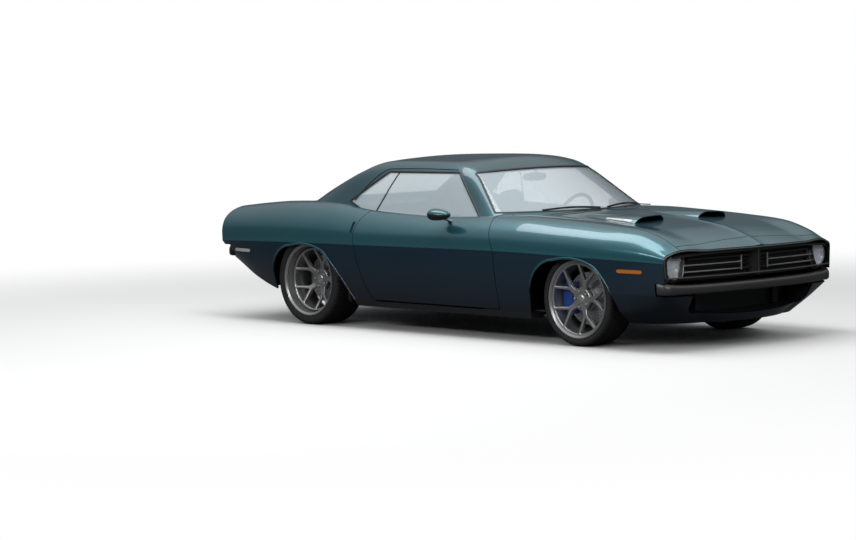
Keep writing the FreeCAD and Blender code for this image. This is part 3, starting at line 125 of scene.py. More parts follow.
def arc(a, middle, b, count=16):
    """Points along the circle through three points, the first left out."""
    (ax, ay), (mx, my), (bx, by) = a, middle, b
    d = 2 * (ax * (my - by) + mx * (by - ay) + bx * (ay - my))
    aa, mm, bb = ax**2 + ay**2, mx**2 + my**2, bx**2 + by**2
    ux = (aa * (my - by) + mm * (by - ay) + bb * (ay - my)) / d
    uy = (aa * (bx - mx) + mm * (ax - bx) + bb * (mx - ax)) / d
    start, mid, end = (math.atan2(p[1] - uy, p[0] - ux) for p in (a, middle, b))
    turn = (end - start) % (2 * math.pi)
    if (mid - start) % (2 * math.pi) > turn:
        turn -= 2 * math.pi
    r = math.hypot(ax - ux, ay - uy)
    t = start + turn * np.arange(1, count + 1) / count
    return [(ux + r * c, uy + r * s) for c, s in zip(np.cos(t), np.sin(t))]


def outline(start, *steps):
    """A closed outline; a step is an end point, or a pair (middle point, end point) for an arc."""
    points = [start]
    for step in steps:
        points += arc(points[-1], *step) if isinstance(step[0], tuple) else [step]
    return np.array(points)


def distance(polygon, p):
    """Signed distance from points p (n, 2) to a closed polygon: negative inside."""
    a, b = polygon, np.roll(polygon, -1, axis=0)
    keep = np.linalg.norm(b - a, axis=1) > 1e-9
    a, b = a[keep], b[keep]
    e = b - a
    best = np.full(len(p), 1e9)
    inside = np.zeros(len(p), bool)
    for (x0, y0), (ex, ey) in zip(a, e):
        wx, wy = p[:, 0] - x0, p[:, 1] - y0
        t = np.clip((wx * ex + wy * ey) / (ex * ex + ey * ey), 0, 1)
        best = np.minimum(best, np.hypot(wx - t * ex, wy - t * ey))
        if abs(ey) > 1e-12:
            inside ^= ((y0 > p[:, 1]) != (y0 + ey > p[:, 1])) & (p[:, 0] < x0 + ex * (p[:, 1] - y0) / ey)
    return np.where(inside, -best, best)


# ---------------------------------------------------------------- the hull: the body below the belt line
# One row per cross-section; dx is measured from the axle. y and z of one side's outline in millimetres:
# sill edge, side bulge, crease line, waist, shoulder, and the height on the centreline.
HULL = [
    # axle dx    sill_y _z  bulge_y _z  crease_y _z  waist_y _z  shoulder_y _z  centre_z
    (F,   980,   750, 205,   826, 400,   858, 592,   850, 620,   818, 636,   652),
    (F,   830,   800, 205,   862, 400,   884, 600,   878, 640,   834, 664,   720),
    (F,   700,   845, 200,   888, 400,   900, 606,   892, 666,   832, 720,   766),
    (F,   500,   888, 190,   912, 400,   917, 611,   907, 688,   828, 776,   812),
    (F,   200,   905, 180,   930, 400,   935, 618,   922, 705,   818, 808,   842),
    (F,  -200,   905, 172,   935, 400,   944, 626,   928, 715,   812, 832,   864),
    (F,  -590,   905, 172,   938, 400,   949, 633,   930, 724,   820, 843,   882),
    (F,  -860,   905, 172,   938, 400,   949, 633,   930, 724,   822, 843,   872),
    (F, -1400,   905, 172,   938, 400,   948, 630,   926, 722,   816, 835,   836),
    (R,   693,   905, 172,   938, 400,   949, 624,   926, 720,   816, 850,   851),
    (R,   440,   903, 172,   936, 400,   950, 622,   929, 724,   814, 868,   869),
    (R,   150,   900, 180,   938, 400,   951, 620,   930, 730,   805, 890,   893),
    (R,  -150,   890, 205,   935, 400,   949, 617,   925, 733,   796, 893,   905),
    (R,  -400,   870, 252,   922, 420,   939, 612,   915, 730,   788, 886,   903),
    (R,  -650,   850, 332,   900, 450,   922, 606,   900, 722,   780, 868,   888),
    (R,  -850,   830, 425,   880, 500,   904, 600,   885, 712,   772, 850,   867),
    (R, -1000,   820, 500,   862, 545,   888, 596,   872, 700,   765, 834,   850),
    (R, -1070,   814, 535,   853, 562,   879, 594,   864, 690,   760, 826,   840),
]
CROWN_Y = 0.5                                           # half-width of the section's point on the top's arc


def section_points(p):
    """One section's seven points, y and z in metres, from a table row."""
    yz = list(zip(p[0:10:2], p[1:10:2]))
    shoulder_y, shoulder_z = yz[-1]
    crown_z = p[10] - (p[10] - shoulder_z) * (CROWN_Y * 1000 / shoulder_y) ** 2
    return np.array(yz + [(CROWN_Y * 1000, crown_z), (0.0, p[10])]) / 1000


_rows = sorted(((axle + dx / 1000, section_points(p)) for axle, dx, *p in HULL), key=lambda row: row[0])
HULL_X = np.array([x for x, _ in _rows])
HULL_YZ = np.array([p for _, p in _rows])
CREASE = 2                                              # index of the crease line among a section's points


def hull(x, s):
    """The hull's right side at length x and section parameter s, 0 at the sill and 6 on the centreline.

    Each section is a cubic through its seven points, smooth at all but the crease line."""
    p = pchip(HULL_X, HULL_YZ, x)
    d = np.diff(p, axis=1)
    length = np.linalg.norm(d, axis=2, keepdims=True)
    chord = d / length
    knot = np.zeros_like(p)
    knot[:, 1:-1] = chord[:, :-1] * length[:, 1:] + chord[:, 1:] * length[:, :-1]
    knot[:, 0], knot[:, -1] = chord[:, 0], (-1.0, 0.0)
    knot = unit(knot)
    i = np.clip(s.astype(int), 0, 5)
    row = np.arange(len(x))
    t = (s - i)[:, None]
    start, end = knot[row, i].copy(), knot[row, i + 1].copy()
    start[i == CREASE] = chord[row, i][i == CREASE]
    end[i == CREASE - 1] = chord[row, i][i == CREASE - 1]
    reach = length[row, i]
    yz = hermite(p[row, i], p[row, i + 1], start * reach, end * reach, t)
    return xyz(x, -yz[:, 0], yz[:, 1])


def side_points(x, z):
    """Points of the hull's right side at lengths x and heights z, below the shoulder."""
    s = np.linspace(0, 4.6, 93)
    out = []
    for xi, zi in zip(x, z):
        q = hull(np.full(len(s), xi), s)
        out.append((xi, np.interp(zi, q[:, 2], q[:, 1]), zi))
    return np.array(out)


# ---------------------------------------------------------------- the greenhouse above the belt line
SIDE_X = np.array([R - 0.36, R + 0.59, F - 1.45, F - 0.87])
SIDE_LINE = np.array([                                  # half-width at the foot, and lean inward per metre up
    (0.724, 0.46), (0.777, 0.49), (0.775, 0.50), (0.777, 0.584),
])
ROOF_Y = np.array([0, 300, 450, 560, 620, 700]) / 1000     # half-widths where a roof section gets a point
ROOF = [
    # axle dx     falls below the roof's top at those half-widths, all but the second
    (F,  -520,     6,  48,  78, 120, 210),
    (F, -1245,     2,  42,  71, 112, 200),
    (F, -1480,     0,  32,  58, 100, 190),
    (F, -1760,     4,  32,  56,  98, 190),
    (R,   740,    10,  34,  56,  98, 190),
    (R,   500,    22,  40,  58,  96, 190),
    (R,   385,    36,  50,  68, 100, 190),
    (R,   290,    60,  76,  98, 118, 200),
    (R,   160,   110, 128, 150, 168, 240),
    (R,    -5,   190, 208, 228, 244, 300),
    (R,  -210,   298, 318, 336, 350, 390),
    (R,  -450,   400, 410, 420, 430, 450),
]
_falls = sorted((axle + dx / 1000, f[0], f[0] + (f[1] - f[0]) * 4 / 9, *f[1:]) for axle, dx, *f in ROOF)
ROOF_X = np.array([r[0] for r in _falls])
ROOF_FALL = np.array([r[1:] for r in _falls]) / 1000


def crown_height(x, y):
    """The roof's height over a plan point: monotone cubics along the car, then across it."""
    falls = pchip(ROOF_X, ROOF_FALL, x)
    y = np.abs(y)
    i = np.clip(np.searchsorted(ROOF_Y, y) - 1, 0, len(ROOF_Y) - 2)
    row = np.arange(len(y))
    h = ROOF_Y[i + 1] - ROOF_Y[i]
    slope = np.gradient(falls, ROOF_Y, axis=1)
    slope[:, 0] = 0
    t = (y - ROOF_Y[i]) / h
    return ROOF_TOP - hermite(falls[row, i], falls[row, i + 1], slope[row, i] * h, slope[row, i + 1] * h, t)


def cabin_field(p, rounding=0.022):
    """How far points lie outside the greenhouse: a smooth maximum of its side, screen, back and crown."""
    x, y, z = p[:, 0], np.abs(p[:, 1]), p[:, 2]
    up = z - 0.868
    wide = pchip(SIDE_X, SIDE_LINE, np.clip(x, SIDE_X[0] - 0.2, SIDE_X[-1] + 0.1))
    side = (y - (wide[:, 0] - wide[:, 1] * up)) * 0.89
    corner_x, corner_y = F - 0.868 - 1.27 * up, 0.777 - 0.584 * up
    middle = F - 0.587 - 1.653 * up
    screen = (x - (middle - (middle - corner_x) * (y / corner_y) ** 2)) * 0.52
    tail_y = 0.724 - 0.46 * up
    back_x, tail_x = R - 0.300 + 2.02 * up, R - 0.362 + 2.26 * up
    back = ((back_x + (tail_x - back_x) * (y / tail_y) ** 2) - x) * 0.44
    crown = (z - crown_height(x, np.minimum(y, 0.9))) * 0.98
    fields = np.stack([side, screen, back, crown])
    top = fields.max(axis=0)
    return top + rounding * np.log(np.exp((fields - top) / rounding).sum(axis=0)) - rounding * 0.1


SPINE_Z = 0.80                                          # rays to the greenhouse start from this height


def cabin_hit(start, ray, reach=2.5, halvings=34):
    """Where rays from points inside the greenhouse leave it, found by halving the reach."""
    low, high = np.zeros(len(start)), np.full(len(start), reach)
    for _ in range(halvings):
        middle = (low + high) / 2
        beyond = cabin_field(start + ray * middle[:, None]) > 0
        high = np.where(beyond, middle, high)
        low = np.where(beyond, low, middle)
    return start + ray * low[:, None]


def cabin(x, s):
    """The greenhouse's right side: where the ray at length x and angle s from straight up meets it."""
    return cabin_hit(xyz(x, 0, SPINE_Z), xyz(0, -np.sin(s), np.cos(s)), 1.1, 26)


# ---------------------------------------------------------------- cutting panels out of a surface
def lattice(rows, cols):
    """The faces of a grid of points."""
    return [
        [i * cols + k, (i + 1) * cols + k, (i + 1) * cols + k + 1, i * cols + k + 1]
        for i in range(rows - 1) for k in range(cols - 1)
    ]


class Patch:
    """A grid of polygons in a surface's two parameters, cut by fields of the surface's points."""

    def __init__(self, surface, us, vs):
        self.surface = surface
        u, v = np.meshgrid(us, vs, indexing="ij")
        self.params = np.column_stack([u.ravel(), v.ravel()])
        self.points = surface(self.params[:, 0], self.params[:, 1])
        self.faces = lattice(len(us), len(vs))

    def cut(self, *fields, tolerance=2e-4):
        """Keeps where every field is negative; edges that cross zero are cut there."""
        for field in fields:
            self.cut_once(field, tolerance)
        return self

    def cut_once(self, field, tolerance):
        """Cuts by one field: an edge across zero is cut where the line between its two values is zero."""
        value = field(self.points)
        value[np.abs(value) < tolerance] = 0.0
        keep, made, edges, added = [], {}, [], []
        count = len(self.points)

        def crossing(a, b):
            key = (min(a, b), max(a, b))
            if key not in made:
                made[key] = count + len(edges)
                edges.append(key)
                added.append(value[key[0]] / (value[key[0]] - value[key[1]]))
            return made[key]

        for face in self.faces:
            inside = [value[i] <= 0 for i in face]
            if all(inside):
                if any(value[i] < 0 for i in face):
                    keep.append(face)
                continue
            if not any(value[i] < 0 for i in face):
                continue
            new = []
            for i, a in enumerate(face):
                b = face[(i + 1) % len(face)]
                if value[a] <= 0:
                    new.append(a)
                if value[a] * value[b] < 0:
                    new.append(crossing(a, b))
            if len(new) > 2:
                keep.append(new)
        if edges:
            ends = np.array(edges)
            t = np.array(added)[:, None]
            new = self.params[ends[:, 0]] * (1 - t) + self.params[ends[:, 1]] * t
            self.params = np.vstack([self.params, new])
            self.points = np.vstack([self.points, self.surface(new[:, 0], new[:, 1])])
        self.faces = keep

    def mesh(self):
        """Used points and faces, renumbered."""
        used = sorted({i for f in self.faces for i in f})
        number = {old: new for new, old in enumerate(used)}
        return self.points[used], [[number[i] for i in f] for f in self.faces]


def inside(polygon, axes, grow=0.0):
    """A field that keeps what lies in an outline, seen along the axis that isn't named."""
    columns = ["xyz".index(c) for c in axes]

    def field(p):
        seen = np.column_stack([np.abs(p[:, c]) if c == 1 else p[:, c] for c in columns])
        return distance(polygon, seen) - grow

    return field


def outside(polygon, axes, grow=0.0):
    """A field that keeps what lies clear of an outline by grow."""
    field = inside(polygon, axes, grow)
    return lambda p: -field(p)


def keeping(axis, sign):
    """Fields that keep what lies below (1) or above (-1) a limit along an axis; y counts from the middle."""
    def limit(value):
        return lambda p: sign * ((np.abs(p[:, 1]) if axis == 1 else p[:, axis]) - value)

    return limit


behind, ahead = keeping(0, 1), keeping(0, -1)
narrower, wider = keeping(1, 1), keeping(1, -1)
below, above = keeping(2, 1), keeping(2, -1)


def either(*fields):
    """Keeps what any of the fields keeps."""
    return lambda p: np.min([f(p) for f in fields], axis=0)


def every(*fields):
    """Keeps what all the fields keep."""
    return lambda p: np.max([f(p) for f in fields], axis=0)


def flipped(faces):
    """Faces with their corners in reverse order, so that they face the other way."""
    return [f[::-1] for f in faces]


def mirror(points, faces):
    """The same shape on the other side of the car: y changes sign and the faces are flipped."""
    return points * (1, -1, 1), flipped(faces)


def joined(*parts):
    """Several (points, faces) meshes as one."""
    points, faces, count = [], [], 0
    for p, f in parts:
        points.append(np.asarray(p, float))
        faces += [[i + count for i in face] for face in f]
        count += len(p)
    return np.vstack(points), faces


def pair(mesh):
    """A mesh of the car's right side with its mirror image on the left."""
    return joined(mesh, mirror(*mesh))


def welded(points, faces, reach=1e-5):
    """The mesh with points that coincide made one."""
    key = np.round(points / reach).astype(np.int64)
    _, first, inverse = np.unique(key, axis=0, return_index=True, return_inverse=True)
    inverse = inverse.ravel()
    out = []
    for face in faces:
        new = []
        for i in face:
            j = int(inverse[i])
            if not new or new[-1] != j:
                new.append(j)
        if len(new) > 1 and new[0] == new[-1]:
            new.pop()
        if len(new) > 2:
            out.append(new)
    return points[first], out


def point_normals(points, faces):
    """Area-weighted normals at the points."""
    normals = np.zeros_like(points)
    for size in sorted({len(f) for f in faces}):
        ids = np.array([f for f in faces if len(f) == size])
        q = points[ids]
        n = sum(np.cross(q[:, k] - q[:, 0], q[:, k + 1] - q[:, 0]) for k in range(1, size - 1))
        for k in range(size):
            np.add.at(normals, ids[:, k], n)
    length = np.linalg.norm(normals, axis=1, keepdims=True)
    return normals / np.where(length > 0, length, 1)


def rim_edges(faces):
    """Directed edges that only one face uses."""
    seen = {}
    for f in faces:
        for a, b in zip(f, f[1:] + f[:1]):
            seen[(a, b)] = seen.get((a, b), 0) + 1
    return [(a, b) for a, b in seen if (b, a) not in seen]


def thickened(points, faces, depth):
    """A closed sheet: the surface, a copy behind it, and a rim. depth is a number or a function of points."""
    back = depth(points) if callable(depth) else points - point_normals(points, faces) * depth
    count = len(points)
    rim = [[b, a, a + count, b + count] for a, b in rim_edges(faces)]
    return np.vstack([points, back]), faces + [[i + count for i in f[::-1]] for f in faces] + rim


def swept(sections, closed=False, caps=True):
    """A skin through closed rings: sections is an array (n, m, 3) of m ring points at n stations."""
    count, ring = sections.shape[:2]
    points = sections.reshape(-1, 3)
    faces = []
    for i in range(count if closed else count - 1):
        j = (i + 1) % count
        for k in range(ring):
            n = (k + 1) % ring
            faces.append([i * ring + k, i * ring + n, j * ring + n, j * ring + k])
    if caps and not closed:
        faces.append(list(range(ring))[::-1])
        faces.append([(count - 1) * ring + k for k in range(ring)])
    return points, faces


def lathe(profile, count, origin, axis):
    """A closed profile of (radius, depth) pairs turned about an axis in count steps of the angle t.

    A point is origin + radius * (cos t e1 + sin t e2) + depth * axis."""
    profile, axis = np.asarray(profile, float), np.asarray(axis, float)
    e1 = np.array([0, 0, 1.0]) if abs(axis[2]) < 0.9 else np.array([1.0, 0, 0])
    e1 = unit(e1 - axis * (e1 @ axis))
    e2 = np.cross(axis, e1)
    t = 2 * np.pi * np.arange(count) / count
    around = np.outer(np.cos(t), e1) + np.outer(np.sin(t), e2)
    rings = np.asarray(origin, float) + profile[None, :, :1] * around[:, None] + profile[None, :, 1:] * axis
    points, faces = swept(rings, closed=True)
    return points, faces if loop_area(profile) > 0 else flipped(faces)


def loop_area(profile):
    """Signed area inside a closed outline."""
    u, v = np.asarray(profile, float).T
    return 0.5 * np.sum(u * np.roll(v, -1) - np.roll(u, -1) * v)


def softened(points, rounds=2):
    """A closed outline with its corners cut again and again (Chaikin's rule)."""
    q = np.asarray(points, float)
    for _ in range(rounds):
        n = np.roll(q, -1, axis=0)
        q = np.stack([0.75 * q + 0.25 * n, 0.25 * q + 0.75 * n], axis=1).reshape(-1, q.shape[1])
    return q


def extruded(path, profile):
    """A profile of (side, up) pairs swept along a path."""
    path, profile = np.asarray(path, float), np.asarray(profile, float)
    tangent = unit(np.gradient(path, axis=0))
    side = unit(np.cross(tangent, UPWARD))
    top = np.cross(side, tangent)
    return swept(path[:, None] + side[:, None] * profile[None, :, :1] + top[:, None] * profile[None, :, 1:])


def round_profile(half_width, half_height, power=2.0, count=16):
    """A rounded closed profile: a superellipse |a/w|^p + |b/h|^p = 1."""
    t = 2 * np.pi * np.arange(count) / count
    c, s = [np.sign(w) * np.abs(w) ** (2 / power) for w in (np.cos(t), np.sin(t))]
    return np.column_stack([half_width * c, half_height * s])


def resampled(points, count):
    """Points at even steps along a polyline."""
    points = np.asarray(points, float)
    length = np.concatenate([[0], np.cumsum(np.linalg.norm(np.diff(points, axis=0), axis=1))])
    t = np.linspace(0, length[-1], count)
    return np.column_stack([np.interp(t, length, points[:, k]) for k in range(points.shape[1])])


def blob(centre_point, radii, power, rows, columns):
    """A cushion-like closed surface: |x/a|^p + |y/b|^p + |z/c|^p = 1 about a centre."""
    v = np.linspace(-np.pi / 2, np.pi / 2, rows)[1:-1]
    u = 2 * np.pi * np.arange(columns) / columns
    e = 2 / power

    def f(w):
        return np.sign(w) * np.abs(w) ** e

    cv, sv = f(np.cos(v))[:, None], f(np.sin(v))[:, None]
    rings = np.stack([cv * f(np.cos(u)), cv * f(np.sin(u)), sv * np.ones(columns)], axis=2)
    points, faces = swept(rings, caps=False)
    points = np.vstack([points, [[0, 0, -1]], [[0, 0, 1]]]) * radii + centre_point
    low, high = len(points) - 2, len(points) - 1
    last = (len(v) - 1) * columns
    faces += [[low, (k + 1) % columns, k] for k in range(columns)]
    faces += [[high, last + k, last + (k + 1) % columns] for k in range(columns)]
    return points, faces


def hull_top(p):
    """The hull's height over a plan point, from the section's upper half."""
    s = np.linspace(3.0, 6.0, 61)
    xs = np.linspace(p[:, 0].min() - 0.01, p[:, 0].max() + 0.01, 80)
    q = hull(np.repeat(xs, len(s)), np.tile(s, len(xs))).reshape(len(xs), len(s), 3)
    ys = np.linspace(0, 0.9, 91)
    table = np.array([np.interp(ys, -row[::-1, 1], row[::-1, 2]) for row in q])
    fx = np.clip((p[:, 0] - xs[0]) / (xs[1] - xs[0]), 0, len(xs) - 1.001)
    fy = np.clip(np.abs(p[:, 1]) / (ys[1] - ys[0]), 0, len(ys) - 1.001)
    i, j = fx.astype(int), fy.astype(int)
    a, b = fx - i, fy - j
    return (
        table[i, j] * (1 - a) * (1 - b) + table[i + 1, j] * a * (1 - b)
        + table[i, j + 1] * (1 - a) * b + table[i + 1, j + 1] * a * b
    )


def crease_height(x):
    """Height of the crease line at a length."""
    return pchip(HULL_X, HULL_YZ[:, CREASE, 1], x)


COLLECTION = bpy.context.scene.collection


def facing(points, faces, axis, sign=1):
    """The open mesh, its faces turned over where their normals lean away from sign along an axis."""
    lean = point_normals(points, faces)[:, axis].sum() * sign
    return points, faces if lean > 0 else flipped(faces)


def shade_below_crease(mesh, lip):
    """Marks the faces under the crease line with painted shade, where the paint is darker. On a lip the mark
    grows downward, so the lip's lower ends are shaded.
    """
    centres = np.zeros(len(mesh.polygons) * 3)
    mesh.polygons.foreach_get("center", centres)
    centres = centres.reshape(-1, 3)
    x, y, z = centres.T
    low = (z < crease_height(x) - 0.0005) & ((np.abs(y) > 0.5) | (z < 0.52))
    value = mesh.attributes.new("below_crease", "FLOAT", "FACE")
    painted_shade_amount = np.clip((0.55 - z) / 0.16, 0, 1) if lip else low
    value.data.foreach_set("value", painted_shade_amount.astype(np.float32))


def make(name, solid, body, material, replaces=(), smooth=32, slot=None, lip=False):
    """A finished piece: a (points, faces) solid on a CAD body, smooth up to an angle in degrees."""
    points, faces = solid
    mesh = bpy.data.meshes.new(name)
    mesh.from_pydata(np.asarray(points, float).tolist(), [], faces)
    mesh.validate()
    mesh.polygons.foreach_set("use_smooth", np.ones(len(mesh.polygons), bool))
    mesh.set_sharp_from_angle(angle=math.radians(smooth))
    mesh.materials.append(material)
    # Painted pieces get painted shade below the crease.
    if material is PAINT:
        shade_below_crease(mesh, lip)
    piece = bpy.data.objects.new(name, mesh)
    COLLECTION.objects.link(piece)
    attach(piece, body)
    if replaces:
        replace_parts(piece, *replaces)
    return piece


# ---------------------------------------------------------------- materials
def feed(tree, node, inputs):
    """Sets a node's inputs, by name or number, to plain values, or links them to other nodes' outputs."""
    for key, value in inputs.items():
        if isinstance(value, bpy.types.NodeSocket):
            tree.links.new(value, node.inputs[key])
        else:
            node.inputs[key].default_value = value
    return node


def add(tree, kind, inputs, **settings):
    """A new shader node with its attributes set and its inputs fed."""
    node = tree.nodes.new("ShaderNode" + kind)
    for key, value in settings.items():
        setattr(node, key, value)
    return feed(tree, node, inputs)


def object_place(tree):
    """The Object coordinates of a material."""
    return add(tree, "TexCoord", {}).outputs["Object"]


def mixed(tree, factor, a, b):
    """A colour between two by a factor."""
    return add(tree, "Mix", {"Factor": factor, "A": a, "B": b}, data_type="RGBA").outputs["Result"]


def ranged(tree, value, low, high):
    """A value from 0 to 1 spread between two numbers."""
    return add(tree, "MapRange", {"Value": value, "To Min": low, "To Max": high}).outputs["Result"]


def graded(tree, value, *ends):
    """A colour that changes with a value between two (value, colour) ends."""
    ramp = add(tree, "ValToRGB", {0: value})
    for stop, (place, colour) in zip(ramp.color_ramp.elements, ends):
        stop.position = place
        stop.color = (*colour, 1)
    return ramp.outputs[0]


def new_material(name):
    """A new material, its node tree and its Principled shader."""
    material = bpy.data.materials.new(name)
    material.use_nodes = True
    return material, material.node_tree, material.node_tree.nodes["Principled BSDF"]


def simple(name, colour, metallic=0.0, roughness=0.5, coat=0.0, scale=40.0, vary=0.06, bump=0.0):
    """A plain finish whose colour and roughness wander a little with a noise in object space."""
    material, tree, bsdf = new_material(name)
    noise = add(tree, "TexNoise", {"Vector": object_place(tree), "Scale": scale}).outputs["Fac"]
    dark = [c * (1 - vary) for c in colour]
    light = [min(1.0, c * (1 + vary)) for c in colour]
    feed(tree, bsdf, {
        "Base Color": mixed(tree, noise, (*dark, 1), (*light, 1)), "Metallic": metallic, "Coat Weight": coat,
        "Roughness": ranged(tree, noise, max(0.0, roughness - vary), roughness + vary),
    })
    if bump:
        height = add(tree, "Bump", {"Height": noise, "Strength": bump, "Distance": 0.001})
        feed(tree, bsdf, {"Normal": height.outputs["Normal"]})
    return material


def glass(name, tint, alpha):
    """Thin clear glass: mostly see-through, with a coated shine."""
    material = simple(name, tint, 0.0, 0.04, coat=1.0, scale=6, vary=0.02)
    feed(material.node_tree, material.node_tree.nodes["Principled BSDF"], {"Alpha": alpha})
    return material


def flake_group():
    """Metal flakes: a value in and out of the light per flake, from a fine cell pattern in object space."""
    group = bpy.data.node_groups.new("paint_flakes", "ShaderNodeTree")
    face = group.interface
    face.new_socket("Size", in_out="INPUT", socket_type="NodeSocketFloat").default_value = 0.0012
    face.new_socket("Spread", in_out="INPUT", socket_type="NodeSocketFloat").default_value = 0.25
    face.new_socket("Value", in_out="OUTPUT", socket_type="NodeSocketFloat")
    start, end = group.nodes.new("NodeGroupInput"), group.nodes.new("NodeGroupOutput")
    fineness = add(group, "Math", {0: 1.0, 1: start.outputs["Size"]}, operation="DIVIDE").outputs[0]
    cells = add(group, "TexVoronoi", {"Vector": object_place(group), "Scale": fineness})
    shade = add(group, "SeparateColor", {0: cells.outputs["Color"]}).outputs[0]
    low, high = [
        add(group, "Math", {0: start.outputs["Spread"], 1: sign, 2: 1.0}, operation="MULTIPLY_ADD").outputs[0]
        for sign in (-1, 1)
    ]
    feed(group, end, {"Value": ranged(group, shade, low, high)})
    return group


FLAKES = flake_group()


def body_paint():
    """Metallic paint under clear coat: teal above the crease, lightest just above it as a painted sheen, and
    navy below it as painted shade, darkest at the sill.
    """
    material, tree, bsdf = new_material("body_paint")
    height = add(tree, "SeparateXYZ", {0: object_place(tree)}).outputs["Z"]
    # Painted shade: navy below the crease, darkest at the sill, in place of the dark ground the lower body
    # reflects.
    navy = graded(tree, height, (0.20, (0.004, 0.012, 0.022)), (0.62, (0.012, 0.046, 0.080)))
    # Painted sheen: teal lightest just above the crease, where the side faces the sky, darker towards the
    # top.
    teal = graded(tree, height, (0.60, (0.028, 0.145, 0.178)), (1.0, (0.014, 0.066, 0.086)))
    # The painted-shade mark from shade_below_crease chooses navy over teal.
    mark = add(tree, "Attribute", {}, attribute_name="below_crease").outputs["Fac"]
    flakes = add(tree, "Group", {}, node_tree=FLAKES).outputs["Value"]
    shade = add(tree, "VectorMath", {0: mixed(tree, mark, teal, navy), "Scale": flakes}, operation="SCALE")
    feed(tree, bsdf, {
        "Base Color": shade.outputs[0], "Metallic": 0.6, "Roughness": 0.30, "Coat Weight": 0.8,
        "Coat Roughness": 0.04,
    })
    return material


DRILL_START, DRILL_PITCH, DRILL_STEP, DRILL_RADIUS = 0.104, 0.017, 0.0309, 0.0036


def drilled_iron():
    """Brake disc metal with rows of drilled holes painted as dark dots, painted shade in place of real holes,
    from the disc's own polar attribute (turns, metres).
    """
    material, tree, bsdf = new_material("disc_iron")
    polar = add(tree, "Attribute", {}, attribute_name="polar").outputs["Vector"]
    axes = add(tree, "SeparateXYZ", {0: polar})
    turns, radius = axes.outputs["X"], axes.outputs["Y"]

    def value(kind, *values):
        return add(tree, "Math", dict(enumerate(values)), operation=kind).outputs[0]

    def off_centre(cell, size):
        return value("MULTIPLY", value("SUBTRACT", value("FRACT", cell), 0.5), size)

    row = value("DIVIDE", value("SUBTRACT", radius, DRILL_START), DRILL_PITCH)
    column = value("MULTIPLY_ADD", turns, 30.0, value("MULTIPLY", value("FLOOR", row), 0.37))
    across, along = off_centre(column, DRILL_STEP), off_centre(row, DRILL_PITCH)
    squares = [value("POWER", value("ABSOLUTE", d), 2.0) for d in (across, along)]
    in_hole = value("LESS_THAN", value("SQRT", value("ADD", *squares)), DRILL_RADIUS)
    painted_hole_shade = value("MULTIPLY", in_hole, value("GREATER_THAN", radius, DRILL_START))
    brushed = add(tree, "TexNoise", {"Vector": polar, "Scale": 60.0}).outputs["Fac"]
    # The holes are painted near-black: painted shade, since the disc itself is solid.
    feed(tree, bsdf, {
        "Base Color": mixed(tree, painted_hole_shade, (0.42, 0.42, 0.43, 1), (0.01, 0.01, 0.01, 1)),
        "Metallic": 0.9, "Roughness": ranged(tree, brushed, 0.25, 0.45),
    })
    return material


PAINT = body_paint()
GLASS = glass("window_glass", (0.64, 0.75, 0.80), 0.38)
DARK = simple("dark_trim", (0.012, 0.012, 0.013), 0.0, 0.45, scale=300)
GREY_METAL = simple("bumper_metal", (0.09, 0.088, 0.085), 0.7, 0.32, scale=500)
CHROME = simple("bright_trim", (0.75, 0.76, 0.77), 1.0, 0.12, scale=60, vary=0.02)
RUBBER = simple("tyre_rubber", (0.012, 0.012, 0.013), 0.0, 0.7, scale=250, bump=0.2)
WHEEL_METAL = simple("wheel_metal", (0.36, 0.36, 0.36), 0.75, 0.30, scale=400)
IRON = drilled_iron()
STEEL = simple("suspension_metal", (0.02, 0.02, 0.022), 0.4, 0.5, scale=200)
CAST = simple("engine_metal", (0.05, 0.05, 0.055), 0.6, 0.55, scale=120)
EXHAUST = simple("exhaust_steel", (0.35, 0.33, 0.31), 1.0, 0.3, scale=80)
BLUE = simple("caliper_blue", (0.01, 0.06, 0.32), 0.1, 0.35, coat=0.8, scale=300)
CABIN = simple("cabin_plastic", (0.02, 0.02, 0.022), 0.0, 0.6, scale=600, bump=0.1)
LEATHER = simple("seat_leather", (0.025, 0.025, 0.028), 0.0, 0.5, scale=700, bump=0.3)
LAMP = glass("lamp_glass", (0.90, 0.94, 0.98), 0.25)
RED = simple("tail_lens", (0.25, 0.005, 0.005), 0.0, 0.15, coat=1.0, scale=50)
REFLECTOR = simple("lamp_reflector", (0.80, 0.86, 0.92), 0.2, 0.3, coat=0.5, scale=90)
PALE = simple("marker_pale", (0.55, 0.55, 0.53), 0.0, 0.3, coat=0.6, scale=200)
BAR_METAL = simple("moulding_metal", (0.15, 0.148, 0.145), 0.75, 0.3, scale=500)
ALUMINIUM = simple("satin_aluminium", (0.62, 0.62, 0.60), 0.9, 0.28, scale=300, vary=0.03)
AMBER = simple("marker_lens", (0.55, 0.16, 0.02), 0.0, 0.2, coat=1.0, scale=50)

# ---------------------------------------------------------------- outlines
ARCH_EDGE = {                                           # the front part of each wheel opening's edge
    F: ((0.330, 0.440), (0.398, 0.300), (0.405, 0.120)), R: ((0.395, 0.380), (0.590, 0.120), (0.600, 0.110)),
}


def arch_outline(axle):
    """A wheel opening in side view."""
    middle, low, foot = [(axle + dx, z) for dx, z in ARCH_EDGE[axle]]
    return outline(
        (axle - 0.402, foot[1]), (axle - 0.388, 0.330), ((axle - 0.300, 0.540), (axle - 0.150, 0.594)),
        ((axle + 0.040, 0.608), (axle + 0.225, 0.556)), (middle, low), foot,
    )


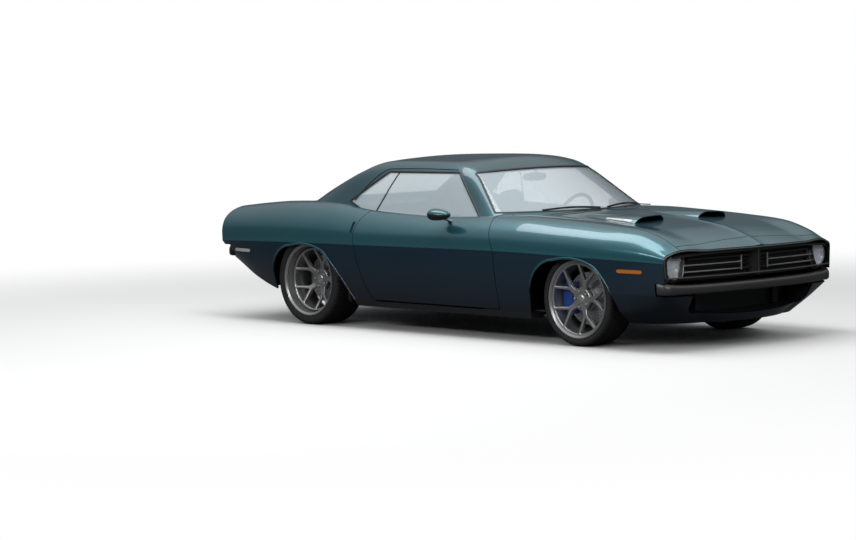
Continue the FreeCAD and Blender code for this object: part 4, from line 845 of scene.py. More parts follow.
ARCHES = {axle: arch_outline(axle) for axle in (F, R)}
DOOR = outline(
    (F - 0.700, 0.226), (F - 0.735, 0.634), (F - 0.852, 0.850), (F - 0.852, 0.960), (R + 0.606, 0.960),
    (R + 0.606, 0.868), ((R + 0.549, 0.740), (R + 0.573, 0.600)), ((R + 0.624, 0.420), (R + 0.730, 0.238)),
    (R + 0.742, 0.226),
)
HOOD = outline(
    (F - 0.742, -HOOD_HALF), (F + 1.2, -HOOD_HALF), (F + 1.2, HOOD_HALF), (F - 0.742, HOOD_HALF),
    ((F - 0.520, 0), (F - 0.742, -HOOD_HALF)),
)
DECK = np.array([
    (DECK_REAR, -DECK_HALF), (DECK_FRONT, -DECK_HALF), (DECK_FRONT, DECK_HALF), (DECK_REAR, DECK_HALF),
])
SPLIT_LOW, SPLIT_TOP = R + 0.622, R + 0.733
SIDE_WINDOW = outline(
    (F - 0.970, BELT - 0.008), (F - 1.388, 1.158), (R + 0.625, 1.152), (R + 0.308, 0.930),
    ((R + 0.440, 0.884), (SPLIT_LOW - 0.020, BELT - 0.008)),
)
SCREEN = outline(
    (-0.748, 0.886), (-0.606, 1.128), ((-0.592, 1.152), (-0.560, 1.162)), ((0, 1.182), (0.560, 1.162)),
    ((0.592, 1.152), (0.606, 1.128)), (0.748, 0.886),
)
BACK_WINDOW = outline(
    (-0.600, 0.935), (-0.505, 1.150), ((-0.490, 1.176), (-0.460, 1.184)), (0.460, 1.184),
    ((0.490, 1.176), (0.505, 1.150)), (0.600, 0.935),
)


def nose_x(y):
    """The nose's bowed plan line."""
    return NOSE_CORNER + (NOSE_TIP - NOSE_CORNER) * (1 - (y / NOSE_HALF) ** 2)


def nose_cut(p):
    """Keeps what lies behind the nose's plan line."""
    return p[:, 0] - nose_x(p[:, 1])


TAIL = outline(
    (F + 1.1, 0.0), (F + 1.1, 1.2), (R - 0.905, 1.2), (R - 0.982, 0.850),
    ((R - 1.040, 0.800), (R - 1.052, 0.748)), (R - 1.021, 0.597), (R - 0.950, 0.470), (R - 0.950, 0.0),
)
tail_cut = inside(TAIL, "xz")


def clear_of_cabin(margin=0.003):
    """Keeps what lies outside the greenhouse."""
    return lambda p: np.where(p[:, 2] > 0.78, margin - cabin_field(p), -1.0)


def grid(low, high, step):
    """Even values from low to high, about a step apart."""
    return np.linspace(low, high, max(2, int(round((high - low) / step)) + 1))


SECTION = np.concatenate([grid(0, 2, 0.06), grid(2, 4.6, 0.05)[1:], grid(4.6, 6, 0.05)[1:]])
TOP_SECTION = SECTION[SECTION > 3.5]
STEP = 0.014


def hull_patch(x0, x1, *fields, section=SECTION):
    """The hull's right side from x0 to x1, cut by fields."""
    return Patch(hull, grid(x0, x1, STEP), section).cut(*fields).mesh()


def lid_panel(name, half, body, thickness, replaces):
    """A painted panel across the middle of the car, made from its right half."""
    make(name, thickened(*welded(*pair(half)), thickness), body, PAINT, replaces, slot="body_paint")


# ---------------------------------------------------------------- painted panels
fender = hull_patch(
    F - 0.86, F + 0.95, nose_cut, outside(HOOD, "xy", GAP), wider(0.700), outside(DOOR, "xz", GAP),
    outside(ARCHES[F], "xz"), either(above(SILL_TOP), ahead(F)), either(above(APRON_TOP), behind(F + 0.3)),
    either(above(BUMPER_TOP), behind(WRAP_X)), clear_of_cabin(),
)
solid = thickened(*welded(*fender), SKIN)
make("fender_skins", pair(solid), "chassis", PAINT, ["fenders"], slot="body_paint")

DOOR_MIDDLE, DOOR_DEPTH = (F + R) / 2 - 0.04, 0.100


def door_inside(p):
    """The door's inner face: moved inboard by the door's depth, its outline a little shorter."""
    q = p.copy()
    q[:, 1] += DOOR_DEPTH
    q[:, 0] = DOOR_MIDDLE + (q[:, 0] - DOOR_MIDDLE) * 0.965
    return q


door = hull_patch(
    R + 0.5, F - 0.68, inside(DOOR, "xz"), clear_of_cabin(), below(0.95), section=SECTION[SECTION < 5]
)
solid = thickened(*welded(*door), door_inside)
for side, mesh in (("right", solid), ("left", mirror(*solid))):
    make("door_shell_" + side, mesh, "door_" + side, PAINT, ["door_" + side], slot="body_paint")

SLOT = outline(                                         # the upright opening behind the door, for its handle
    (R + 0.506, 0.714), ((R + 0.519, 0.704), (R + 0.532, 0.714)), (R + 0.532, 0.782),
    ((R + 0.519, 0.792), (R + 0.506, 0.782)),
)
quarter = hull_patch(
    R - 1.07, R + 0.76, tail_cut, outside(DOOR, "xz", GAP), outside(DECK, "xy", GAP),
    outside(ARCHES[R], "xz"), outside(SLOT, "xz"), either(above(SILL_TOP), behind(R)), clear_of_cabin(),
    either(behind(R + 0.6), wider(0.5), below(0.5)),
    either(ahead(R - 0.925), above(REAR_BUMPER_TOP), below(REAR_BUMPER_FOOT)),
)
shelf = hull_patch(DECK_FRONT + GAP, R + 0.262, narrower(DECK_HALF + GAP), section=TOP_SECTION)
deck_edge = hull_patch(R - 1.07, DECK_REAR - GAP, tail_cut, narrower(DECK_HALF + GAP), section=TOP_SECTION)
panels = welded(*joined(pair(quarter), pair(shelf), pair(deck_edge)))
make("quarter_skins", thickened(*panels, SKIN), "chassis", PAINT, ["quarter_panels"], slot="body_paint")


def tail_roll(y, v):
    """The painted roll from the deck's end (v = 0) down over the tail panel's top (v = 1), 2 mm proud."""
    face = TAIL[TAIL[:, 0] < R - 0.94]
    face = face[np.argsort(face[:, 1])]
    x = R - 0.985
    for _ in range(3):
        top = hull_top(xyz(x, y, 0))
        x = np.interp(top, face[:, 1], face[:, 0])
    z = top + (np.minimum(0.792, top - 0.006) - top) * v
    return xyz(np.interp(z, face[:, 1], face[:, 0]) - 0.002 * np.clip(3 * v, 0, 1), y, z)


roll = facing(*Patch(tail_roll, np.linspace(-0.822, 0.822, 83), np.linspace(0, 1, 9)).mesh(), 2)
make("tail_roll", thickened(*roll, 0.0015), "chassis", PAINT, slot="body_paint")

# A dark plate at the back of the handle's opening: painted shade in the recess.
points, faces = hull_patch(R + 0.49, R + 0.55, inside(SLOT, "xz", 0.004), section=grid(2.2, 4, 0.02))
recess = thickened(points + (0, 0.011, 0), faces, 0.002)
make("handle_recess", pair(recess), "chassis", DARK, slot="dark_trim")

SCOOP_Y, SCOOP_REAR, SCOOP_MOUTH = 0.330, F - 0.43, F + 0.19
RIDGE, RIDGE_WIDTH = 0.008, 0.030


def bonnet(x, s):
    """The hull with a ridge along its middle: a low peak that fades out to its sides and to the rear."""
    p = hull(x, s)
    p[:, 2] += RIDGE * np.exp(-np.abs(p[:, 1]) / RIDGE_WIDTH) * np.clip((p[:, 0] - (F - 0.52)) / 0.3, 0, 1)
    return p


def bonnet_patch(x0, x1, *fields):
    """The bonnet's right half from x0 to x1, cut by fields; its sections are closer at the ridge."""
    sections = np.concatenate([grid(3.5, 5.5, 0.05), grid(5.5, 6, 0.02)[1:]])
    return Patch(bonnet, grid(x0, x1, STEP), sections).cut(*fields).mesh()


hood = bonnet_patch(F - 0.75, F + 0.80, inside(HOOD, "xy"), behind(NOSE_SEAM - GAP), above(0.64))
lid_panel("hood_panel", hood, "hood_lid", LID_SKIN, ["hood"])
nose = bonnet_patch(NOSE_SEAM, F + 0.95, nose_cut, inside(HOOD, "xy"), above(0.64))
lid_panel("nose_skin", nose, "chassis", LID_SKIN, ["nose_panel"])
lid = hull_patch(DECK_REAR, DECK_FRONT, inside(DECK, "xy"), section=TOP_SECTION)
lid_panel("boot_lid_panel", lid, "boot", LID_SKIN, ["boot_lid"])
cowl = hull_patch(
    F - 0.99, F - 0.45, outside(HOOD, "xy", GAP), narrower(0.700), clear_of_cabin(0.0), section=TOP_SECTION
)
lid_panel("cowl_panel", cowl, "chassis", 0.016, ["cowl"])


def bonnet_height(x, y):
    """The bonnet's height over plan points."""
    return hull_top(xyz(x, y, 0))


def scoop_surface(u, v, side):
    """A bonnet scoop's skin: a low hump, wider and higher from its rear (u = 0) to its open mouth (u = 1).

    Across, v runs from -1 to 1 and the hump's height falls as 1 - |v|^5."""
    x = SCOOP_REAR + (SCOOP_MOUTH - SCOOP_REAR) * u + 0.030 * (1 - np.abs(v) ** 3) * u ** 6
    y = side * SCOOP_Y + (0.055 + 0.097 * u ** 0.8) * v
    rise = 0.046 * u ** 1.2 * (1 - np.abs(v) ** 5)
    return xyz(x, y, bonnet_height(x, y) + rise - 0.002)


def scoop(side):
    """One scoop's skin, open at its mouth."""
    skin = Patch(lambda u, v: scoop_surface(u, v, side), np.linspace(0, 1, 40), np.linspace(-1, 1, 33)).mesh()
    return thickened(*skin, lambda p: p - (0, 0, 0.006))


def scoop_insert(side):
    """A blank plate with round ends let into a scoop's outer flank."""

    def plate(a, b):
        """The scoop's surface over a stadium on its flank, a along it and b across, from -1 to 1."""
        high = np.sqrt(np.clip(1 - np.clip((np.abs(a) - 0.92) / 0.0801, 0, 1) ** 2, 0, 1))
        return scoop_surface(0.72 + 0.22 * a, side * (0.925 + 0.045 * b * high), side)

    points, faces = welded(*Patch(plate, np.linspace(-1, 1, 25), np.linspace(-1, 1, 5)).mesh(), 1e-4)
    faces = faces if side > 0 else flipped(faces)
    points = points + point_normals(points, faces) * 0.002
    return thickened(points, faces, 0.002)


def scoop_throat(side):
    """The dark lining of a scoop's mouth, painted shade inside it: a floor on the bonnet, a back wall and a
    roof under the skin.
    """
    v = np.linspace(-1, 1, 25)
    rows = []
    for u, share in ((0.995, 0.0), (0.80, 0.0), (0.78, 0.25), (0.77, 0.85), (0.80, 1.0), (0.985, 1.0)):
        skin = scoop_surface(np.full_like(v, u), v * 0.93, side)
        low = bonnet_height(skin[:, 0], skin[:, 1]) + 0.0012
        top = np.maximum(skin[:, 2] - 0.0085, low + 0.0008 * share)
        rows.append(np.column_stack([skin[:, :2], low + (top - low) * share]))
    points, faces = np.vstack(rows), lattice(6, 25)
    faces = faces if side < 0 else flipped(faces)
    return thickened(points, faces, 0.0006)


for label, side in SIDES:
    make("hood_scoop_" + label, scoop(side), "hood_lid", PAINT, slot="body_paint")
    make("scoop_insert_" + label, scoop_insert(side), "hood_lid", PALE, slot="bumper_metal")
    make("hood_scoop_throat_" + label, scoop_throat(side), "hood_lid", DARK, slot="dark_trim")

# ---------------------------------------------------------------- front apron and bumpers
VALANCE = [
    # Millimetres, x from the front axle: height, half-widths at x 300 and 500, then x and y at the end of the
    # side, round the corner and at the front's edge, and x in the middle.
    (384,      926, 911,   740, 880,   806, 850,   842, 760,   906),
    (280,      892, 868,   640, 812,   748, 735,   800, 560,   888),
    (175,      800, 735,   560, 690,   668, 612,   745, 430,   852),
]
RING = 121                                              # points round half a ring


def valance_ring(row):
    """Half a plan outline of the apron at one height, at even steps from its back end to the middle."""
    z, *p = np.array(row) / 1000
    bend = outline((p[2], p[3]), ((p[4], p[5]), (p[6], p[7])))
    bow = np.array([(p[6], p[7])] + arc((p[6], p[7]), (p[8], 0), (p[6], -p[7]), 40)[:20])
    bow[-1] = (p[8], 0)
    line = np.vstack([[(0.3, p[0]), (0.5, p[1])], bend, bow[1:]])
    return resampled(xyz(line[:, 0] + F, -line[:, 1], z), RING)


RINGS = np.array([valance_ring(row) for row in reversed(VALANCE)])


def apron(t, z):
    """The front apron's surface: t runs along the plan outline from 0 to 1, z is the height."""
    heights = RINGS[:, 0, 2]
    rings = pchip(heights, RINGS, z)
    i = np.clip((t * (RING - 1)).astype(int), 0, RING - 2)
    w = (t * (RING - 1) - i)[:, None]
    row = np.arange(len(t))
    return rings[row, i] * (1 - w) + rings[row, i + 1] * w


MOUTH = outline(
    (-0.640, 0.400), (-0.628, 0.300), ((-0.603, 0.260), (-0.540, 0.248)), ((0, 0.226), (0.540, 0.248)),
    ((0.603, 0.260), (0.628, 0.300)), (0.640, 0.400),
)
APRON_FOOT = 0.175
valance = Patch(apron, np.linspace(0, 1, 161), grid(APRON_FOOT, APRON_TOP, 0.008)).cut(
    outside(ARCHES[F], "xz"), either(behind(F + 0.6), outside(MOUTH, "yz")),
    either(behind(WRAP_X), below(BUMPER_FOOT)),
)
lid_panel("front_apron", valance.mesh(), "chassis", SKIN, ["front_valance"])


def apron_x(y, z):
    """How far ahead the apron's outer surface lies at half-widths and heights."""
    rings = pchip(RINGS[:, 0, 2], RINGS, np.clip(z, APRON_FOOT, APRON_TOP))
    return np.array([np.interp(-abs(yi), ring[:, 1], ring[:, 0]) for yi, ring in zip(y, rings)])


def mouth_duct(steps=6):
    """The air intake's dark box, painted shade behind the opening: a loft from the apron's opening back to a
    smaller ring, closed there.
    """
    q = resampled(np.vstack([MOUTH, MOUTH[:1]]), 129)[:-1] * (1.003, 1.0)
    front = np.column_stack([apron_x(q[:, 0], q[:, 1]) - SKIN * 0.9, q])
    rear = xyz(F + 0.60, q[:, 0] * 0.95, 0.33 + (q[:, 1] - 0.33) * 0.85)
    v = np.linspace(0, 1, steps + 1)[:, None, None]
    points, faces = swept(front * (1 - v) + rear * v, caps=False)
    faces.append([steps * len(q) + k for k in range(len(q))])
    return thickened(points, faces, 0.003)


make("mouth_duct", mouth_duct(), "chassis", DARK, smooth=40, slot="dark_trim")

REAR_APRON = [
    # x from the rear axle, y and z of the upper edge;   the same of the lower edge
    (-0.640, 0.842, 0.336,   -0.640, 0.832, 0.328),
    (-0.800, 0.826, 0.412,   -0.790, 0.800, 0.382),
    (-0.900, 0.806, 0.452,   -0.870, 0.760, 0.396),
    (-0.944, 0.752, 0.473,   -0.918, 0.690, 0.382),
    (-0.950, 0.600, 0.473,   -0.934, 0.550, 0.346),
    (-0.950, 0.000, 0.473,   -0.938, 0.000, 0.330),
]


def rear_apron(t, v):
    """The panel under the rear bumper, bulging a little between an upper and a lower edge line."""
    table = np.array(REAR_APRON)
    knots = np.concatenate([[0], np.cumsum(np.hypot(np.diff(table[:, 0]), np.diff(table[:, 1])))])
    row = pchip(knots / knots[-1], table, t)
    bulge = 0.010 * np.sin(np.pi * v)
    x = R + row[:, 0] * (1 - v) + row[:, 3] * v - bulge
    y = -(row[:, 1] * (1 - v) + row[:, 4] * v)
    return xyz(x, y, row[:, 2] * (1 - v) + row[:, 5] * v)


apron_half = Patch(rear_apron, np.linspace(0, 1, 71), np.linspace(0, 1, 13)).mesh()
apron_rear = facing(*welded(*pair(apron_half)), 0, -1)
make("rear_apron", thickened(*apron_rear, 0.010), "chassis", PAINT, ["rear_valance"], slot="body_paint")


def blade_path(tip, corner, half, reach, sign):
    """A bumper's centreline in plan: ends along the body's sides, round corners and a bowed middle."""
    middle = arc((corner, -half), (tip, 0), (corner, half), 60)
    end = (corner - sign * reach, -half - 0.048)
    right = [end] + arc(end, (corner - sign * reach * 0.35, -half - 0.034), (corner, -half), 10)
    left = [(x, -y) for x, y in right][::-1]
    return resampled(np.array(right + middle[:-1] + left), 90)


def bumper_blade(plan, z, height, depth, outward, lift=0.0):
    """A slim blade bumper: a profile with a rounded crown and turned-in edges along the plan line.

    Towards the ends its upper edge rises by lift, with the tenth power of the distance along."""
    h, d = height / 2, depth
    profile = np.array([
        (0.000, -h), (0.30 * d, -h), (0.75 * d, -h * 0.94), (0.96 * d, -h * 0.70), (d, -h * 0.2),
        (d * 0.98, h * 0.35), (0.88 * d, h * 0.74), (0.62 * d, h * 0.96), (0.25 * d, h), (0.000, h),
        (0.05 * d, h * 0.8), (0.05 * d, -h * 0.8),
    ])
    path = xyz(*plan.T, z)
    tangent = unit(np.gradient(path, axis=0))
    normal = xyz(tangent[:, 1], -tangent[:, 0], 0) * outward
    along = np.linspace(-1, 1, len(path))
    rise = lift * np.abs(along) ** 10
    up = profile[None, :, 1]
    sections = path[:, None] + normal[:, None] * (profile[None, :, :1] - d)
    sections[:, :, 2] += up + rise[:, None] * np.clip(up / h * 0.5 + 0.5, 0, 1)
    points, faces = swept(sections)
    return points, faces if outward > 0 else flipped(faces)


tip = span("front_bumper")[1][0]
blade = bumper_blade(blade_path(tip, tip - 0.105, 0.840, 0.085, 1), 0.418, 0.066, 0.055, 1, 0.040)
make("front_bumper_blade", blade, "chassis", GREY_METAL, ["front_bumper"], smooth=50, slot="bumper_metal")
tip = span("rear_bumper")[0][0]
blade = bumper_blade(blade_path(tip, tip + 0.038, 0.830, 0.060, -1), 0.520, 0.084, 0.055, -1)
make("rear_bumper_blade", blade, "chassis", GREY_METAL, ["rear_bumper"], smooth=50, slot="bumper_metal")

# ---------------------------------------------------------------- roof, pillars and glass
CABIN_X = np.concatenate([
    grid(R - 0.47, R + 0.42, 0.010), grid(R + 0.42, F - 1.32, 0.016)[1:], grid(F - 1.32, F - 0.60, 0.007)[1:],
])
CABIN_ANGLES = np.concatenate([grid(0, 0.9, 0.03), grid(0.9, 1.62, 0.014)[1:]])
FRONT_PART, REAR_PART = ahead(F - 1.36), behind(R + 0.42)


def opening(field):
    """Keeps what lies outside a region that a field keeps."""
    return lambda p: -field(p)


screen_hole = every(inside(SCREEN, "yz"), FRONT_PART)
back_hole = every(inside(BACK_WINDOW, "yz"), REAR_PART)
side_hole = inside(SIDE_WINDOW, "xz")


def over_hull(p):
    """Keeps what lies above the lower body."""
    return hull_top(p) - 0.003 - p[:, 2]


cabin_whole = Patch(cabin, CABIN_X, CABIN_ANGLES).cut(over_hull)
cabin_whole.faces = flipped(cabin_whole.faces)


def cabin_patch(*fields):
    """The greenhouse's right side, cut by fields."""
    return copy.copy(cabin_whole).cut(*fields).mesh()


def sunk_pane(mesh):
    """A sheet of glass behind an opening's surface."""
    points, faces = welded(*mesh)
    return thickened(points - point_normals(points, faces) * PANE_DEPTH, faces, PANE)


roof = cabin_patch(opening(screen_hole), opening(back_hole), opening(side_hole))
lid_panel("roof_shell", roof, "chassis", 0.026, ["roof"])

for name, shape, part, replaced in (
    ("windscreen_glass", SCREEN, FRONT_PART, "windscreen"),
    ("rear_window_glass", BACK_WINDOW, REAR_PART, "rear_window"),
):
    mesh = pair(cabin_patch(inside(shape, "yz", -PANE_INSET), part))
    make(name, sunk_pane(mesh), "chassis", GLASS, [replaced], slot="glass")


def split_line(p):
    """Where along the car the door's glass meets the quarter glass, at the points' heights."""
    return SPLIT_LOW + (SPLIT_TOP - SPLIT_LOW) * (p[:, 2] - BELT) / (1.146 - BELT)


side_pane = cabin_patch(inside(SIDE_WINDOW, "xz", -0.004), lambda p: split_line(p) + 0.004 - p[:, 0])
side_pane = sunk_pane(side_pane)
for side, mesh in (("right", side_pane), ("left", mirror(*side_pane))):
    make("door_window_" + side, mesh, "door_" + side, GLASS, ["door_glass_" + side], slot="glass")
rear_pane = cabin_patch(inside(SIDE_WINDOW, "xz", -PANE_INSET), lambda p: p[:, 0] - split_line(p) + 0.004)
make("quarter_windows", pair(sunk_pane(rear_pane)), "chassis", GLASS, ["quarter_glass"], slot="glass")

# ---------------------------------------------------------------- edges, mouldings and seams
def nose_edge(s):
    """Points of the nose's front edge: where the hull meets the bowed plan line."""
    x = np.full_like(s, NOSE_CORNER)
    for _ in range(12):
        p = hull(x, s)
        x = x - nose_cut(p) * 0.7
    return hull(x, s)


def arch_path(axle, low):
    """The wheel opening's edge on the body side, above a height, from back to front."""
    line = resampled(ARCHES[axle], 260)
    foot = hull(line[:, 0], np.zeros(len(line)))[:, 2]
    line = line[line[:, 1] > np.maximum(low, foot + 0.003)]
    return side_points(*line.T)


def along_edge(path, profile, outward, closed=False):
    """A profile of (across, outward) pairs carried along a path; outward is one direction or many."""
    tangent = np.roll(path, -1, axis=0) - np.roll(path, 1, axis=0) if closed else np.gradient(path, axis=0)
    tangent = unit(tangent)
    out = unit(outward - tangent * np.sum(outward * tangent, axis=1, keepdims=True))
    across = np.cross(tangent, out)
    profile = np.asarray(profile, float)
    sections = path[:, None] + across[:, None] * profile[None, :, :1] + out[:, None] * profile[None, :, 1:]
    return facing_out(*swept(sections, closed=closed))


def facing_out(points, faces):
    """The closed mesh with its faces turned outward, judged by its signed volume."""
    volume = 0.0
    for f in faces:
        q = points[f]
        for k in range(1, len(f) - 1):
            volume += np.dot(q[0], np.cross(q[k], q[k + 1]))
    return points, faces if volume > 0 else flipped(faces)


RAIL = [(-0.008, -0.006), (-0.008, 0.002), (-0.005, 0.0045), (0.002, 0.004), (0.008, 0.001), (0.008, -0.006)]
# The arch lips get painted shade that grows towards their lower ends (lip=True).
for axle, low, label in ((F, APRON_TOP, "front"), (R, SILL_TOP, "rear")):
    lip = along_edge(arch_path(axle, low), RAIL, RIGHTWARD)
    make("arch_lip_" + label, pair(lip), "chassis", PAINT, smooth=50, slot="body_paint", lip=True)

NOSE_INSET = 0.011                                      # how far the moulding lies inside the nose's edge
top = nose_edge(np.linspace(1.50, 6, 120))
top[:, 2] -= NOSE_INSET * np.clip((top[:, 2] - 0.60) / 0.05, 0, 1)
top[:, 1] += NOSE_INSET * np.clip((0.66 - top[:, 2]) / 0.05, 0, 1)
y = np.linspace(0, top[0, 1], 40)[:-1]
half_loop = np.vstack([xyz(nose_x(y), y, top[0, 2]), top])
loop = resampled(np.vstack([half_loop, (half_loop * (1, -1, 1))[::-1][1:-1], half_loop[:1]]), 320)[:-1]
moulding = along_edge(loop, round_profile(0.0055, 0.0065, 2.6, 10), FORWARD, closed=True)
make("nose_moulding", moulding, "chassis", BAR_METAL, smooth=60, slot="bumper_metal")


def grille_x(y, tip, corner, half=0.640):
    """Front edge of a grille bar bowed in plan."""
    return F + corner + (tip - corner) * (1 - (y / half) ** 2)


bars, posts = [], []
for _, side in SIDES:
    for z, inner, outer in ((0.532, 0.138, 0.700), (0.577, 0.138, 0.690)):
        y = np.linspace(inner, outer, 60)
        path = xyz(grille_x(y, 0.852, 0.812), side * y, z)
        bars.append(along_edge(path, round_profile(0.0055, 0.008, 3.0, 10), FORWARD))
    z = np.linspace(0.520, 0.622, 16)
    path = xyz(grille_x(0.138, 0.852, 0.812) + 0.002, side * 0.138, z)
    bars.append(along_edge(path, round_profile(0.006, 0.009, 3.0, 10), FORWARD))
    z = np.linspace(0.492, 0.690, 36)
    sweep = np.clip((0.620 - z) / 0.128, 0, 1) ** 2     # the divider's foot leans outward and forward
    path = xyz(F + 0.815 + 0.012 * sweep, side * (0.684 + 0.034 * sweep), z)
    divider = [(-0.004, -0.040), (-0.004, 0.001), (0, 0.004), (0.004, 0.001), (0.004, -0.040)]
    posts.append(along_edge(path, divider, FORWARD))
make("grille_bars", joined(*bars), "chassis", ALUMINIUM, smooth=50, slot="bumper_metal")
y = np.linspace(-0.700, 0.700, 90)
path = xyz(grille_x(y, 0.882, 0.822, 0.70), y, 0.496)
posts.append(along_edge(path, round_profile(0.005, 0.014, 4.0, 12), FORWARD))
make("lamp_dividers", joined(*posts), "chassis", BAR_METAL, smooth=40, slot="bumper_metal")


def prow():
    """The grille's middle post: a plan section with hollow sides, stacked up and flared at both ends."""
    u = np.linspace(0, 1, 14)
    half = 0.0045 + 0.061 * (1 - u) ** 1.8
    z = np.linspace(0.487, 0.676, 28)
    flare = ((z - 0.582) / 0.095) ** 4
    x = F + 0.800 + 0.094 * u
    ring_x = np.concatenate([x, x[::-1]])
    ring_y = np.concatenate([-half, half[::-1]])
    sections = np.stack([
        F + 0.800 + (ring_x[None] - F - 0.800) * (1 + 0.10 * flare[:, None]),
        ring_y[None] * (1 + 0.35 * flare[:, None]),
        np.tile(z[:, None], (1, len(ring_x))),
    ], axis=2)
    return facing_out(*swept(sections))


make("grille_prow", prow(), "chassis", BAR_METAL, smooth=30, slot="bumper_metal")

# ---------------------------------------------------------------- lamps and markers
LAMP_Y, LAMP_Z, LAMP_R = 0.757, 0.570, 0.076


def shell_profile(radii, depths, thickness):
    """A closed lathe profile: a line of depths at radii, and the same line moved back."""
    return list(zip(radii, depths)) + list(zip(radii[::-1], depths[::-1] - thickness))


r = np.linspace(0.001, LAMP_R, 14)
lens = shell_profile(r, 0.0215 * (1 - (r / LAMP_R) ** 2) - 0.004, 0.003)
bowl = shell_profile(r, -0.042 + 0.038 * (r / LAMP_R) ** 2, 0.002)
bulb = [(0.001, -0.010), (0.010, -0.012), (0.014, -0.018), (0.013, -0.030), (0.001, -0.036)]
bezel = [
    (LAMP_R + a, b) for a, b in (
        (0.000, -0.012), (0.000, 0.000), (0.003, 0.005), (0.006, 0.006), (0.009, 0.005), (0.011, 0.000),
        (0.011, -0.040), (0.008, -0.040), (0.008, -0.012),
    )
]
for name, turned, material, replaced, slot in (
    ("headlamp_lenses", [(lens, 64)], LAMP, ["headlamps"], "headlamp_glass"),
    ("headlamp_bowls", [(bowl, 64), (bulb, 32)], REFLECTOR, (), "bumper_metal"),
    ("headlamp_bezels", [(bezel, 64)], ALUMINIUM, (), "bumper_metal"),
):
    parts = [
        facing_out(*lathe(profile, count, (F + 0.792, side * LAMP_Y, LAMP_Z), FORWARD))
        for _, side in SIDES for profile, count in turned
    ]
    make(name, joined(*parts), "chassis", material, replaced, slot=slot)


def marker(x0, x1, z, grow, proud, thick):
    """A rounded strip lying on the body side: the side's surface inside a stadium, moved out by proud."""
    high = 0.013 + grow
    x0, x1 = x0 - grow, x1 + grow
    shape = outline(
        (x0 + high, z - high), (x1 - high, z - high), ((x1, z), (x1 - high, z + high)), (x0 + high, z + high),
        ((x0, z), (x0 + high, z - high)),
    )
    patch = hull_patch(x0 - 0.01, x1 + 0.01, inside(shape, "xz"), section=grid(0.4, 2.0, 0.02))
    points = patch[0] + point_normals(*patch) * proud
    return thickened(points, patch[1], thick)


for label, x0, x1, z, material in (
    ("front", F + 0.422, F + 0.638, 0.540, AMBER), ("rear", R - 0.858, R - 0.652, 0.533, PALE),
):
    strip, rim = marker(x0, x1, z, -0.001, 0.0035, 0.004), marker(x0, x1, z, 0.004, 0.0015, 0.003)
    make("side_marker_" + label, pair(strip), "chassis", material, ["side_markers"], slot="headlamp_glass")
    make("side_marker_frame_" + label, pair(rim), "chassis", DARK, slot="dark_trim")


def tail_x(z):
    """The tail panel's face at a height."""
    return R - 1.021 - 0.031 * (z - 0.597) / 0.151


q = resampled(outline(
    (0.262, 0.610), (0.758, 0.610), ((0.770, 0.614), (0.772, 0.622)), (0.772, 0.712),
    ((0.770, 0.720), (0.758, 0.724)), (0.262, 0.724), ((0.252, 0.720), (0.248, 0.712)), (0.248, 0.622),
    ((0.250, 0.614), (0.262, 0.610)),
), 120)[:-1]
frames = []
for _, side in SIDES:
    path = xyz(tail_x(q[:, 1]) + 0.002, side * q[:, 0], q[:, 1])
    frames.append(along_edge(path, round_profile(0.004, 0.005, 3.0, 8), BACKWARD, closed=True))
make("tail_lamp_frames", joined(*frames), "chassis", ALUMINIUM, smooth=50, slot="bumper_metal")

# ---------------------------------------------------------------- wheels
WHEELS = {
    # axle x, tyre radius, tyre width, outer face, dish at the edge and at the hub
    "front": (F, 0.324, 0.250, 0.868, 0.016, 0.048),
    "rear": (R, 0.337, 0.292, 0.906, 0.062, 0.128),
}
LIP, BEAD, BORE, DROP = 0.270, 0.256, 0.248, 0.238      # the rim's radii: edge, tyre seat, its bore, well
SPOKE_DEPTH, PAD, CAP = 0.026, 0.074, 0.032             # spoke thickness; radii of the hub's pad and its cap
GROOVE = 0.0055
TREAD_PERIODS = 66
TURN = 72                                               # degrees from one spoke to the next
LUG_CIRCLE = 0.05715
LUG_ANGLES = np.radians(TURN * np.arange(5) + TURN / 2)
LUGS = [(LUG_CIRCLE * math.cos(a), LUG_CIRCLE * math.sin(a)) for a in LUG_ANGLES]


